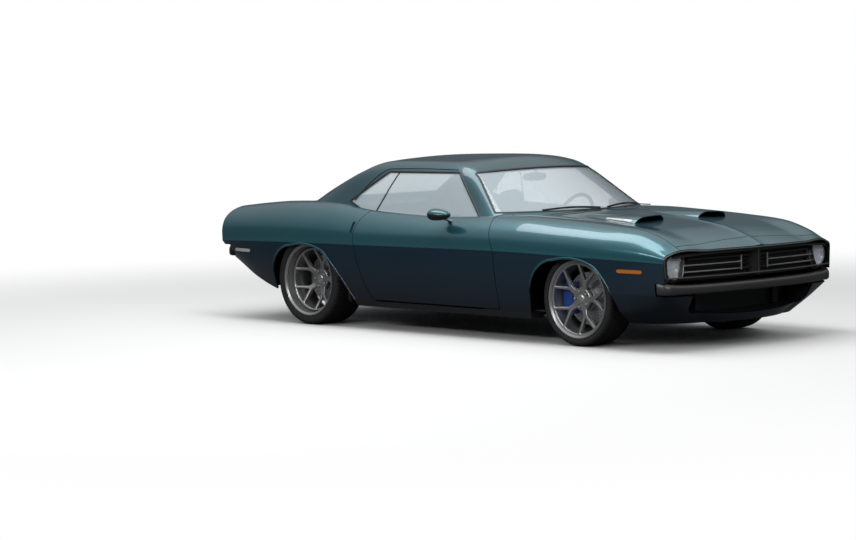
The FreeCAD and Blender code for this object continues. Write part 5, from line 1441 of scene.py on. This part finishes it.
def tyre(end, side):
    """A tyre as one closed skin: a section with rounded shoulders and four grooves, carried round the wheel.

    The shoulders are cut by slanted sipes: there the radius drops by GROOVE where the angle, slanted with the
    depth across, falls in a narrow part of each tread period."""
    axle, radius, width, face = WHEELS[end][:4]
    middle = -(width - 0.010) / 2
    half = [
        (0.2565, -0.0165), (0.2630, -0.0125), (0.2715, -0.0085), (0.2738, -0.0020), (0.2755, 0.0020),
        (0.2800, 0.0040), (0.2840, 0.0030), (0.2880, 0.0045), (radius - 0.030, 0.0052),
        (radius - 0.022, 0.0044), (radius - 0.0165, 0.0020), (radius - 0.0110, -0.0025),
        (radius - 0.0060, -0.0080), (radius - 0.0028, -0.0150), (radius - 0.0012, -0.0220),
        (radius - 0.0004, -0.032),
    ]
    for place in (0.62, 0.22):
        d = middle * (1 - place)
        groove = radius - GROOVE
        half += [(radius, d + 0.0045), (groove, d + 0.0035), (groove, d - 0.0035), (radius, d - 0.0045)]
    inner = [(0.2565, -0.030), (0.2760, -0.020), (radius - 0.018, -0.030)]
    other = [(r, 2 * middle - d) for r, d in half[::-1]]
    profile = np.array(half + other + [(r, 2 * middle - d) for r, d in inner] + inner[::-1])
    offsets = np.array([0.0, 0.07, 0.13, 0.20, 0.60])
    t = (np.arange(TREAD_PERIODS)[:, None] + offsets).ravel() * 2 * np.pi / TREAD_PERIODS
    cut = np.tile([0.0, 1.0, 1.0, 0.0, 0.0], TREAD_PERIODS)
    shoulder = (profile[:, 0] > radius - 0.0130) & (np.abs(profile[:, 1] - middle) > abs(middle) * 0.66)
    r = profile[None, :, 0] - GROOVE * 0.8 * cut[:, None] * shoulder[None, :]
    slant = 0.10 * (profile[:, 1] - middle) / abs(middle)
    turn = t[:, None] + slant[None, :] * shoulder[None, :]
    x = axle + r * np.cos(turn)
    z = radius + r * np.sin(turn)
    y = side * (face + profile[None, :, 1] + 0 * turn)
    points, faces = swept(np.stack([x, y, z], axis=2), closed=True)
    return points, faces if side * loop_area(profile) > 0 else flipped(faces)


def spoke_face(end):
    """A Y-spoke wheel face in its own plane: a polar grid less two kinds of window, with softened edges."""
    edge, hub = WHEELS[end][4:]
    deep = edge + SPOKE_DEPTH / 2 > 0.060
    reach = DROP - 0.008 + 0.003 if deep else BORE + 0.002
    tip = DROP - 0.016 if deep else BORE - 0.012
    arm, stem, fork, lean = 0.010, 0.019, 0.112, math.radians(32)
    margin = math.degrees(arm / tip)

    def polar(radius, degrees):
        """The point at a radius and an angle."""
        return radius * math.cos(math.radians(degrees)), radius * math.sin(math.radians(degrees))

    def turned(corner, degrees):
        """The corner turned about the axle."""
        c, s = math.cos(math.radians(degrees)), math.sin(math.radians(degrees))
        return corner[0] * c - corner[1] * s, corner[0] * s + corner[1] * c

    notch = (stem - arm * math.cos(lean)) / math.sin(lean)
    throat = fork - arm * math.sin(lean) + notch * math.cos(lean)
    fork_window = [(fork + arm / math.sin(lean) + 0.004, 0)]
    fork_window += [polar(tip, a) for a in (18 - margin, 9, 0, -9, margin - 18)]
    side_window = [(throat, stem), (PAD * 1.04, stem * 1.1), polar(PAD * 1.06, TURN / 2)]
    side_window += [turned((PAD * 1.04, -stem * 1.1), TURN), turned((throat, -stem), TURN)]
    side_window += [polar(tip, a) for a in (54 - margin, 45, 36, 27, 18 + margin)]
    windows = [
        softened(resampled(corners + corners[:1], count)[:-1])
        for corners, count in ((fork_window, 60), (side_window, 90))
    ]

    def clearance(p):
        """Distance from the nearest window's edge, positive on metal."""
        r, a = np.hypot(p[:, 0], p[:, 1]), np.degrees(np.arctan2(p[:, 1], p[:, 0]))
        near = []
        for polygon, middle in zip(windows, (0, TURN / 2)):
            folded = np.radians((a - middle + TURN / 2) % TURN - TURN / 2 + middle)
            near.append(distance(polygon, np.column_stack([r * np.cos(folded), r * np.sin(folded)])))
        return np.minimum(*near)

    def flat(r, a):
        """Points of the wheel's own plane at radii r and angles a."""
        return np.column_stack([r * np.cos(a), r * np.sin(a), np.zeros_like(r)])

    radii = np.concatenate([[0.028, 0.034], grid(0.040, reach, 0.0042)])
    face = Patch(flat, radii, np.linspace(0, 2 * np.pi, 361))
    p, faces = welded(*face.cut(lambda p: -clearance(p), tolerance=3e-4).mesh())
    r = np.hypot(p[:, 0], p[:, 1])
    u = np.clip((r - PAD) / (reach - PAD), 0, 1)
    depth = -hub + (hub - edge) * u ** 1.08
    soft = np.clip(1 - clearance(p) / 0.005, 0, 1)
    lug = np.min([np.hypot(p[:, 0] - x, p[:, 1] - y) for x, y in LUGS], axis=0)
    front, back = p.copy(), p.copy()
    front[:, 2] = depth - 0.0035 * soft ** 2 - 0.006 * (lug < 0.0145)
    back[:, 2] = depth - SPOKE_DEPTH
    return thickened(front, faces, lambda q: back)


def mark_polar(piece, end):
    """Stores each corner's angle in turns and its distance from the axle on a disc."""
    axle, radius = WHEELS[end][:2]
    mesh = piece.data
    points = np.zeros(len(mesh.vertices) * 3)
    mesh.vertices.foreach_get("co", points)
    points = points.reshape(-1, 3)
    angle = np.arctan2(points[:, 2] - radius, points[:, 0] - axle) / (2 * np.pi) + 0.5
    loops = np.zeros(len(mesh.loops), int)
    mesh.loops.foreach_get("vertex_index", loops)
    starts = np.zeros(len(mesh.polygons), int)
    mesh.polygons.foreach_get("loop_start", starts)
    turn = angle[loops]
    first = turn[np.repeat(starts, np.diff(np.append(starts, len(loops))))]
    turn = turn + np.round(first - turn)
    far = np.hypot(points[loops, 0] - axle, points[loops, 2] - radius)
    value = mesh.attributes.new("polar", "FLOAT_VECTOR", "CORNER")
    value.data.foreach_set("vector", xyz(turn, far, 0).ravel())


def on_wheel(mesh, end, side):
    """Moves a piece drawn in a wheel's own plane, z outboard, to a corner of the car."""
    points, faces = mesh
    axle, radius, _, face = WHEELS[end][:4]
    out = xyz(axle + points[:, 0], side * (face + points[:, 2]), radius + points[:, 1])
    return out, faces if side < 0 else flipped(faces)


HUB_POINT = (0, 0, 0)
for end, (axle, radius, width, face, edge, hub) in WHEELS.items():
    inner = -(width - 0.010)
    barrel = [
        (LIP - 0.004, 0.0), (LIP - 0.001, -0.001), (LIP, -0.004), (LIP, -0.008), (BEAD, -0.014),
        (BEAD, -0.060), (DROP, -0.090), (DROP, inner + 0.090), (BEAD, inner + 0.060),
        (BEAD, inner + 0.014), (LIP, inner + 0.008), (LIP, inner), (LIP - 0.008, inner),
        (BORE, inner + 0.014), (BORE, inner + 0.060), (DROP - 0.008, inner + 0.090),
        (DROP - 0.008, -0.090), (BORE, -0.060), (BORE, -0.016), (BORE + 0.002, -0.0105),
        (LIP - 0.013, -0.006), (LIP - 0.0075, -0.001),
    ]
    back = -(hub + SPOKE_DEPTH + 0.008)
    bell, disc = PAD + 0.016, 0.182
    step = back - 0.034
    rotor = [
        (0.002, back), (bell - 0.003, back), (bell, back - 0.003), (bell, step), (disc - 0.002, step),
        (disc, step - 0.002), (disc, step - 0.009), (disc - 0.010, step - 0.010),
        (disc - 0.010, step - 0.020), (disc, step - 0.021), (disc, step - 0.028),
        (disc - 0.002, step - 0.030), (bell - 0.012, step - 0.030), (bell - 0.012, back - 0.010),
        (0.002, back - 0.010),
    ]
    cap = [(0.0005, -hub + 0.010)] + [
        (0.031 * math.sin(a), -hub + 0.010 - 0.008 * (1 - math.cos(a))) for a in np.linspace(0.15, 1.45, 8)
    ] + [(CAP, -hub - 0.002), (CAP, -hub - 0.020), (0.0005, -hub - 0.020)]
    nut = [
        (0.0005, -hub + 0.014), (0.006, -hub + 0.014), (0.0095, -hub + 0.011), (0.0105, -hub - 0.006),
        (0.0005, -hub - 0.006),
    ]
    metal = joined(lathe(barrel, 120, HUB_POINT, UPWARD), spoke_face(end))
    fixings = joined(lathe(cap, 40, HUB_POINT, UPWARD), *(lathe(nut, 6, (x, y, 0), UPWARD) for x, y in LUGS))
    plate = lathe(rotor, 96, HUB_POINT, UPWARD)
    for label, side in SIDES:
        corner = end + "_" + label
        body = "wheel_" + corner
        skin = tyre(end, side)
        make("tread_tyre_" + corner, skin, body, RUBBER, ["tyre_" + corner], smooth=40, slot="tyre_rubber")
        for name, mesh, material, replaced, slot in (
            ("wheel_cap_", fixings, ALUMINIUM, (), "wheel_metal"),
            ("spoke_wheel_", metal, WHEEL_METAL, ["rim_" + corner], "wheel_metal"),
            ("drilled_disc_", plate, IRON, ["disc_" + corner], "disc_iron"),
        ):
            solid = on_wheel(mesh, end, side)
            piece = make(name + corner, solid, body, material, replaced, smooth=35, slot=slot)
        mark_polar(piece, end)

# ---------------------------------------------------------------- glass seals, mirrors and wipers
def outward_at(points):
    """The greenhouse's outward direction at points, from the slope of its field."""
    slope = np.stack([cabin_field(points + d) - cabin_field(points - d) for d in np.eye(3) * 0.002], axis=1)
    return unit(slope)


SEAL_DEPTH = 0.0052


def seal(path, proud, width, closed=True):
    """A thin strip lying on the greenhouse along a path, proud of it and sunk into the gap by SEAL_DEPTH."""
    shape = [
        (-width, -SEAL_DEPTH), (-width, proud * 0.3), (-width * 0.5, proud), (width * 0.5, proud),
        (width, proud * 0.3), (width, -SEAL_DEPTH),
    ]
    return along_edge(path, shape, outward_at(path), closed=closed)


q = resampled(SIDE_WINDOW, 220)
side_path = cabin_hit(xyz(q[:, 0], -0.30, q[:, 1]), RIGHTWARD)
ring = seal(side_path, 0.003, 0.007, closed=False)
make("side_window_seals", pair(ring), "chassis", DARK, smooth=50, slot="dark_trim")

z = np.linspace(BELT + 0.012, SIDE_WINDOW[:, 1].max() - 0.004, 40)
start = xyz(0, -0.30, z)
start[:, 0] = split_line(start) - 0.004
split_path = cabin_hit(start, RIGHTWARD)
shape = [(-0.005, -SEAL_DEPTH), (-0.005, -0.002), (0.0, -0.0008), (0.003, -0.002), (0.003, -SEAL_DEPTH)]
strip = along_edge(split_path, shape, outward_at(split_path))
make("quarter_window_seals", pair(strip), "chassis", DARK, smooth=50, slot="dark_trim")
for name, shape, start_x, ray in (
    ("windscreen_moulding", SCREEN, F - 1.75, FORWARD),
    ("rear_window_moulding", BACK_WINDOW, R + 0.70, BACKWARD),
):
    q = resampled(np.vstack([shape, shape[:1]]), 260)[:-1]
    strip = seal(cabin_hit(xyz(start_x, *q.T), ray), 0.0035, 0.008)
    make(name, strip, "chassis", DARK, smooth=50, slot="dark_trim")

x = np.linspace(R + 0.36, F - 1.42, 120)
rail_z = 1.178 - 0.010 * ((x - (F - 1.7)) / 0.5) ** 2 - 0.22 * np.clip((R + 0.62 - x) / 0.26, 0, 1) ** 1.6
path = cabin_hit(xyz(x, -0.20, rail_z), RIGHTWARD)
gutter = along_edge(path, round_profile(0.005, 0.005, 2.4, 8), outward_at(path))
make("drip_rails", pair(gutter), "chassis", PAINT, smooth=50, slot="body_paint")

MIRROR = np.array([F - 1.240, -0.950, 0.872])


def mirror_pod(half):
    """The upper (1) or lower (-1) half of a mirror's housing: flat at the back, with a round nose ahead."""
    u = np.concatenate([[0.0, 0.012], grid(0.04, 0.9, 0.06), [0.94, 0.97, 0.99, 0.999]])
    rounding = np.sqrt(np.clip(1 - np.clip((u - 0.05) / 0.95, 0, 1) ** 2.3, 0, 1))
    size = np.where(u < 0.05, 0.93 + 1.4 * u, rounding)
    angle = np.linspace(0, np.pi, 25)
    c, d = np.cos(angle), np.sin(angle) * half
    sections = np.stack([
        np.tile((MIRROR[0] - 0.078 + 0.158 * u)[:, None], (1, len(angle))),
        MIRROR[1] + 0.071 * size[:, None] * c[None],
        MIRROR[2] + 0.043 * size[:, None] * d[None] + 0.0005 * half,
    ], axis=2)
    return facing_out(*swept(sections))


glass_disc = facing_out(*lathe(
    [(0.0005, 0.001), (0.92, 0.001), (0.96, 0.0), (0.96, -0.003), (0.0005, -0.003)], 40, HUB_POINT, BACKWARD
))
glass_disc = (glass_disc[0] * (1, 0.064, 0.037) + (MIRROR[0] - 0.080, MIRROR[1], MIRROR[2]), glass_disc[1])
stem_path = np.array([
    [F - 1.243, -0.925, 0.846], [F - 1.248, -0.905, 0.838], [F - 1.254, -0.880, 0.830],
    [F - 1.258, -0.858, 0.824], [F - 1.260, -0.838, 0.818],
])
stem = extruded(stem_path, round_profile(0.020, 0.007, 2.2, 16))
for name, mesh, material, slot in (
    ("mirror_cap_", mirror_pod(1), PAINT, "body_paint"),
    ("mirror_base_", mirror_pod(-1), DARK, "dark_trim"),
    ("mirror_stem_", facing_out(*stem), ALUMINIUM, "bumper_metal"),
    ("mirror_glass_", glass_disc, CHROME, "glass"),
):
    for side, solid in (("right", mesh), ("left", mirror(*mesh))):
        replaced = ["mirror_" + side] if material is PAINT else ()
        make(name + side, solid, "door_" + side, material, replaced, slot=slot)

wipers = []
for y0 in (-0.46, 0.12):
    t = np.linspace(0, 1, 24)
    y = y0 + 0.50 * t
    z = 0.893 + 0.012 * np.sin(np.pi * t)
    path = cabin_hit(xyz(F - 1.5, y, z), FORWARD) + (0.010, 0, 0.002)
    wipers.append(facing_out(*extruded(path, round_profile(0.003, 0.007, 2.5, 8))))
    arm = path[12] + np.array([(0.004, 0, 0.004), (0.05, 0.10, -0.008), (0.085, 0.20, -0.016)])
    wipers.append(facing_out(*extruded(resampled(arm, 12), round_profile(0.006, 0.004, 2.5, 8))))
make("wipers", joined(*wipers), "chassis", DARK, smooth=50, slot="dark_trim")

# ---------------------------------------------------------------- seats and cabin details
def turned_back(mesh, pivot, degrees):
    """Leans a piece back about a line across the car through the pivot."""
    points, faces = mesh
    a = math.radians(degrees)
    q = np.asarray(points) - pivot
    x = q[:, 0] * math.cos(a) - q[:, 2] * math.sin(a)
    z = q[:, 0] * math.sin(a) + q[:, 2] * math.cos(a)
    return xyz(x, q[:, 1], z) + pivot, faces


def channels(mesh, middle_y, pitch, depth, half):
    """Presses sewn channels into a cushion: the surface sinks by depth along lines every pitch across it."""
    points, faces = mesh
    normals = point_normals(points, faces)
    offset = (points[:, 1] - middle_y) / pitch
    line = np.abs(offset - np.round(offset)) * pitch
    press = depth * np.exp(-(line / 0.006) ** 2) * (np.abs(points[:, 1] - middle_y) < half)
    return points - normals * press[:, None], faces


def padded(name, mesh):
    """A soft piece of a seat."""
    piece = make(name, mesh, "chassis", LEATHER, smooth=60, slot="seat_leather")
    return piece


SEAT_X, SEAT_BACK = F - 1.27, F - 1.80
for label, side in SIDES:
    y = 0.385 * side
    tilt, recline = (SEAT_X - 0.25, y, 0.33), (SEAT_BACK + 0.065, y, 0.42)
    cushion = blob((SEAT_X - 0.245, y, 0.335), (0.245, 0.185, 0.085), 3.4, 30, 72)
    cushion = turned_back(channels(cushion, y, 0.062, 0.008, 0.15), tilt, -4)
    back = blob((SEAT_BACK + 0.065, y, 0.615), (0.058, 0.180, 0.225), 3.2, 44, 72)
    back = turned_back(channels(back, y, 0.060, 0.007, 0.14), recline, 15)
    bolsters = []
    for edge in (-1, 1):
        thigh = blob((SEAT_X - 0.245, y + edge * 0.212, 0.352), (0.235, 0.036, 0.085), 2.8, 18, 36)
        flank = blob((SEAT_BACK + 0.078, y + edge * 0.205, 0.600), (0.062, 0.042, 0.215), 2.8, 18, 36)
        bolsters += [turned_back(thigh, tilt, -4), turned_back(flank, recline, 15)]
    head = turned_back(blob((SEAT_BACK + 0.060, y, 0.930), (0.040, 0.115, 0.062), 2.8, 20, 40), recline, 13)
    padded("seat_cushion_" + label, cushion)
    padded("seat_back_" + label, back)
    padded("seat_bolsters_" + label, joined(*bolsters))
    padded("head_restraint_" + label, head)
    shell = turned_back(blob((SEAT_BACK + 0.020, y, 0.560), (0.035, 0.215, 0.300), 3.4, 20, 40), recline, 14)
    base = blob((SEAT_X - 0.26, y, 0.262), (0.225, 0.200, 0.045), 4.5, 12, 40)
    solid = joined(facing_out(*shell), base)
    make("seat_shell_" + label, solid, "chassis", CABIN, ["front_seats"], smooth=50, slot="seat_leather")
bench = []
for y in (-0.275, 0.275):
    squab = blob((R + 0.585, y, 0.330), (0.205, 0.262, 0.105), 3.6, 26, 72)
    back = channels(blob((R + 0.430, y, 0.605), (0.055, 0.262, 0.215), 3.4, 40, 72), y, 0.075, 0.007, 0.22)
    bench += [channels(squab, y, 0.075, 0.008, 0.22), turned_back(back, (R + 0.430, y, 0.42), 17)]
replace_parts(padded("rear_bench", joined(*bench)), "rear_seat")

glass_x = F - 1.235
rear_view = blob((glass_x, 0.0, 1.105), (0.012, 0.120, 0.030), 3.0, 14, 40)
stalk_path = [(glass_x + 0.006, 0, 1.118), (glass_x + 0.012, 0, 1.138), (glass_x + 0.018, 0, 1.158)]
stalk = extruded(stalk_path, round_profile(0.006, 0.006, 2.0, 8))
make("rear_view_mirror", joined(rear_view, facing_out(*stalk)), "chassis", CABIN, smooth=50, slot="dark_trim")

sleeve = [
    (0.031, 0.0), (0.033, 0.002), (0.0375, 0.002), (0.0395, 0.0), (0.0395, -0.085), (0.0365, -0.090),
    (0.0365, -0.004), (0.031, -0.004),
]
tips = [facing_out(*lathe(sleeve, 48, (R - 0.982, side * 0.390, 0.290), BACKWARD)) for _, side in SIDES]
make("exhaust_tips", joined(*tips), "chassis", CHROME, smooth=40, slot="exhaust_steel")

# ---------------------------------------------------------------- finishes of the carried-over CAD pieces
FINISH = {
    STEEL: (
        "knuckle_", "bulkhead", "wheel_tubs", "floor_pan", "front_frame", "rear_axle", "leaf_springs",
        "fuel_tank",
    ),
    DARK: ("grille", "tail_panel"), CABIN: ("dashboard", "steering_wheel"),
    BLUE: ("caliper_", "rear_calipers"), RED: "tail_lamps", CAST: "engine", EXHAUST: "exhaust",
}
for name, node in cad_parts.items():
    if node.hide_render:
        continue
    for material, starts in FINISH.items():
        if name.startswith(starts):
            node.data.materials.clear()
            node.data.materials.append(material)

# ---------------------------------------------------------------- floor, light and camera
def studio_floor():
    """A plain pale floor that fades into the backdrop's white far from the car."""
    material, tree, bsdf = new_material("studio_floor")
    far = add(tree, "VectorMath", {0: object_place(tree)}, operation="LENGTH").outputs["Value"]
    reach = {"Value": far, "From Min": 3.4, "From Max": 8.5}
    fade = add(tree, "MapRange", reach, interpolation_type="SMOOTHSTEP")
    seen = add(tree, "LightPath", {}).outputs["Is Camera Ray"]
    glow = add(tree, "Emission", {"Strength": ranged(tree, seen, 0.05, 1.0)})
    tone = mixed(tree, seen, (0.07, 0.07, 0.075, 1), (0.80, 0.80, 0.80, 1))
    feed(tree, bsdf, {"Base Color": tone, "Roughness": 0.7})
    mix = add(tree, "MixShader", {0: fade.outputs["Result"], 1: bsdf.outputs[0], 2: glow.outputs[0]})
    feed(tree, tree.nodes["Material Output"], {"Surface": mix.outputs[0]})
    return material


floor_mesh = bpy.data.meshes.new("studio_floor")
floor_mesh.from_pydata([(-90, -90, 0), (90, -90, 0), (90, 90, 0), (-90, 90, 0)], [], [(0, 1, 2, 3)])
floor_mesh.materials.append(studio_floor())
floor = bpy.data.objects.new("studio_floor", floor_mesh)
COLLECTION.objects.link(floor)

world = bpy.data.worlds.new("studio_world")
bpy.context.scene.world = world
world.use_nodes = True
tree = world.node_tree
height = add(tree, "SeparateXYZ", {0: add(tree, "TexCoord", {}).outputs["Generated"]}).outputs["Z"]
# What the car reflects is dim at the horizon and lighter above. The camera itself sees plain white.
sky = graded(tree, height, (0.30, (0.10, 0.11, 0.12)), (0.85, (1.0, 1.0, 1.0)))
seen = add(tree, "LightPath", {}).outputs["Is Camera Ray"]
feed(tree, tree.nodes["Background"], {"Color": mixed(tree, seen, sky, (1, 1, 1, 1)), "Strength": 1.0})


def softbox(name, place, target, size, power):
    """A rectangular lamp that faces its target."""
    data = bpy.data.lights.new(name, "AREA")
    data.shape = "RECTANGLE"
    data.size, data.size_y = size
    data.energy = power
    lamp = bpy.data.objects.new(name, data)
    COLLECTION.objects.link(lamp)
    lamp.location = place
    lamp.rotation_mode = "QUATERNION"
    lamp.rotation_quaternion = (Vector(target) - Vector(place)).to_track_quat("-Z", "Y")


softbox("top_lamp", (0.0, -1.0, 5.4), (0, -0.2, 0), (7.0, 2.2), 190)
softbox("side_lamp", (1.0, -7.5, 3.2), (0, 0, 0.6), (7.0, 0.6), 150)
softbox("nose_lamp", (8.0, -3.5, 3.4), (1.6, 0, 0.6), (4.0, 1.6), 80)

camera_data = bpy.data.cameras.new("camera")
camera = bpy.data.objects.new("camera", camera_data)
COLLECTION.objects.link(camera)
bpy.context.scene.camera = camera
AZIMUTH, ELEVATION, ROLL = 0.77279, 0.06701, -0.01351
TARGET = np.array([F - 1.2, 0.0, 0.6])
DISTANCE = 20.623
back = np.array([
    math.sin(AZIMUTH) * math.cos(ELEVATION), -math.cos(AZIMUTH) * math.cos(ELEVATION), math.sin(ELEVATION)
])
right = np.array([math.cos(AZIMUTH), math.sin(AZIMUTH), 0.0])
up = np.cross(back, right)
turned_right = math.cos(ROLL) * right + math.sin(ROLL) * up
turned_up = -math.sin(ROLL) * right + math.cos(ROLL) * up
pose = np.column_stack([turned_right, turned_up, back, TARGET + back * DISTANCE])
camera.matrix_world = Matrix([*pose.tolist(), [0, 0, 0, 1]])
camera_data.sensor_width = 36.0
camera_data.lens = 118.07
camera_data.shift_x = -0.1295
camera_data.shift_y = -0.0287
camera_data.clip_end = 200.0
bpy.context.scene.view_settings.view_transform = "Standard"
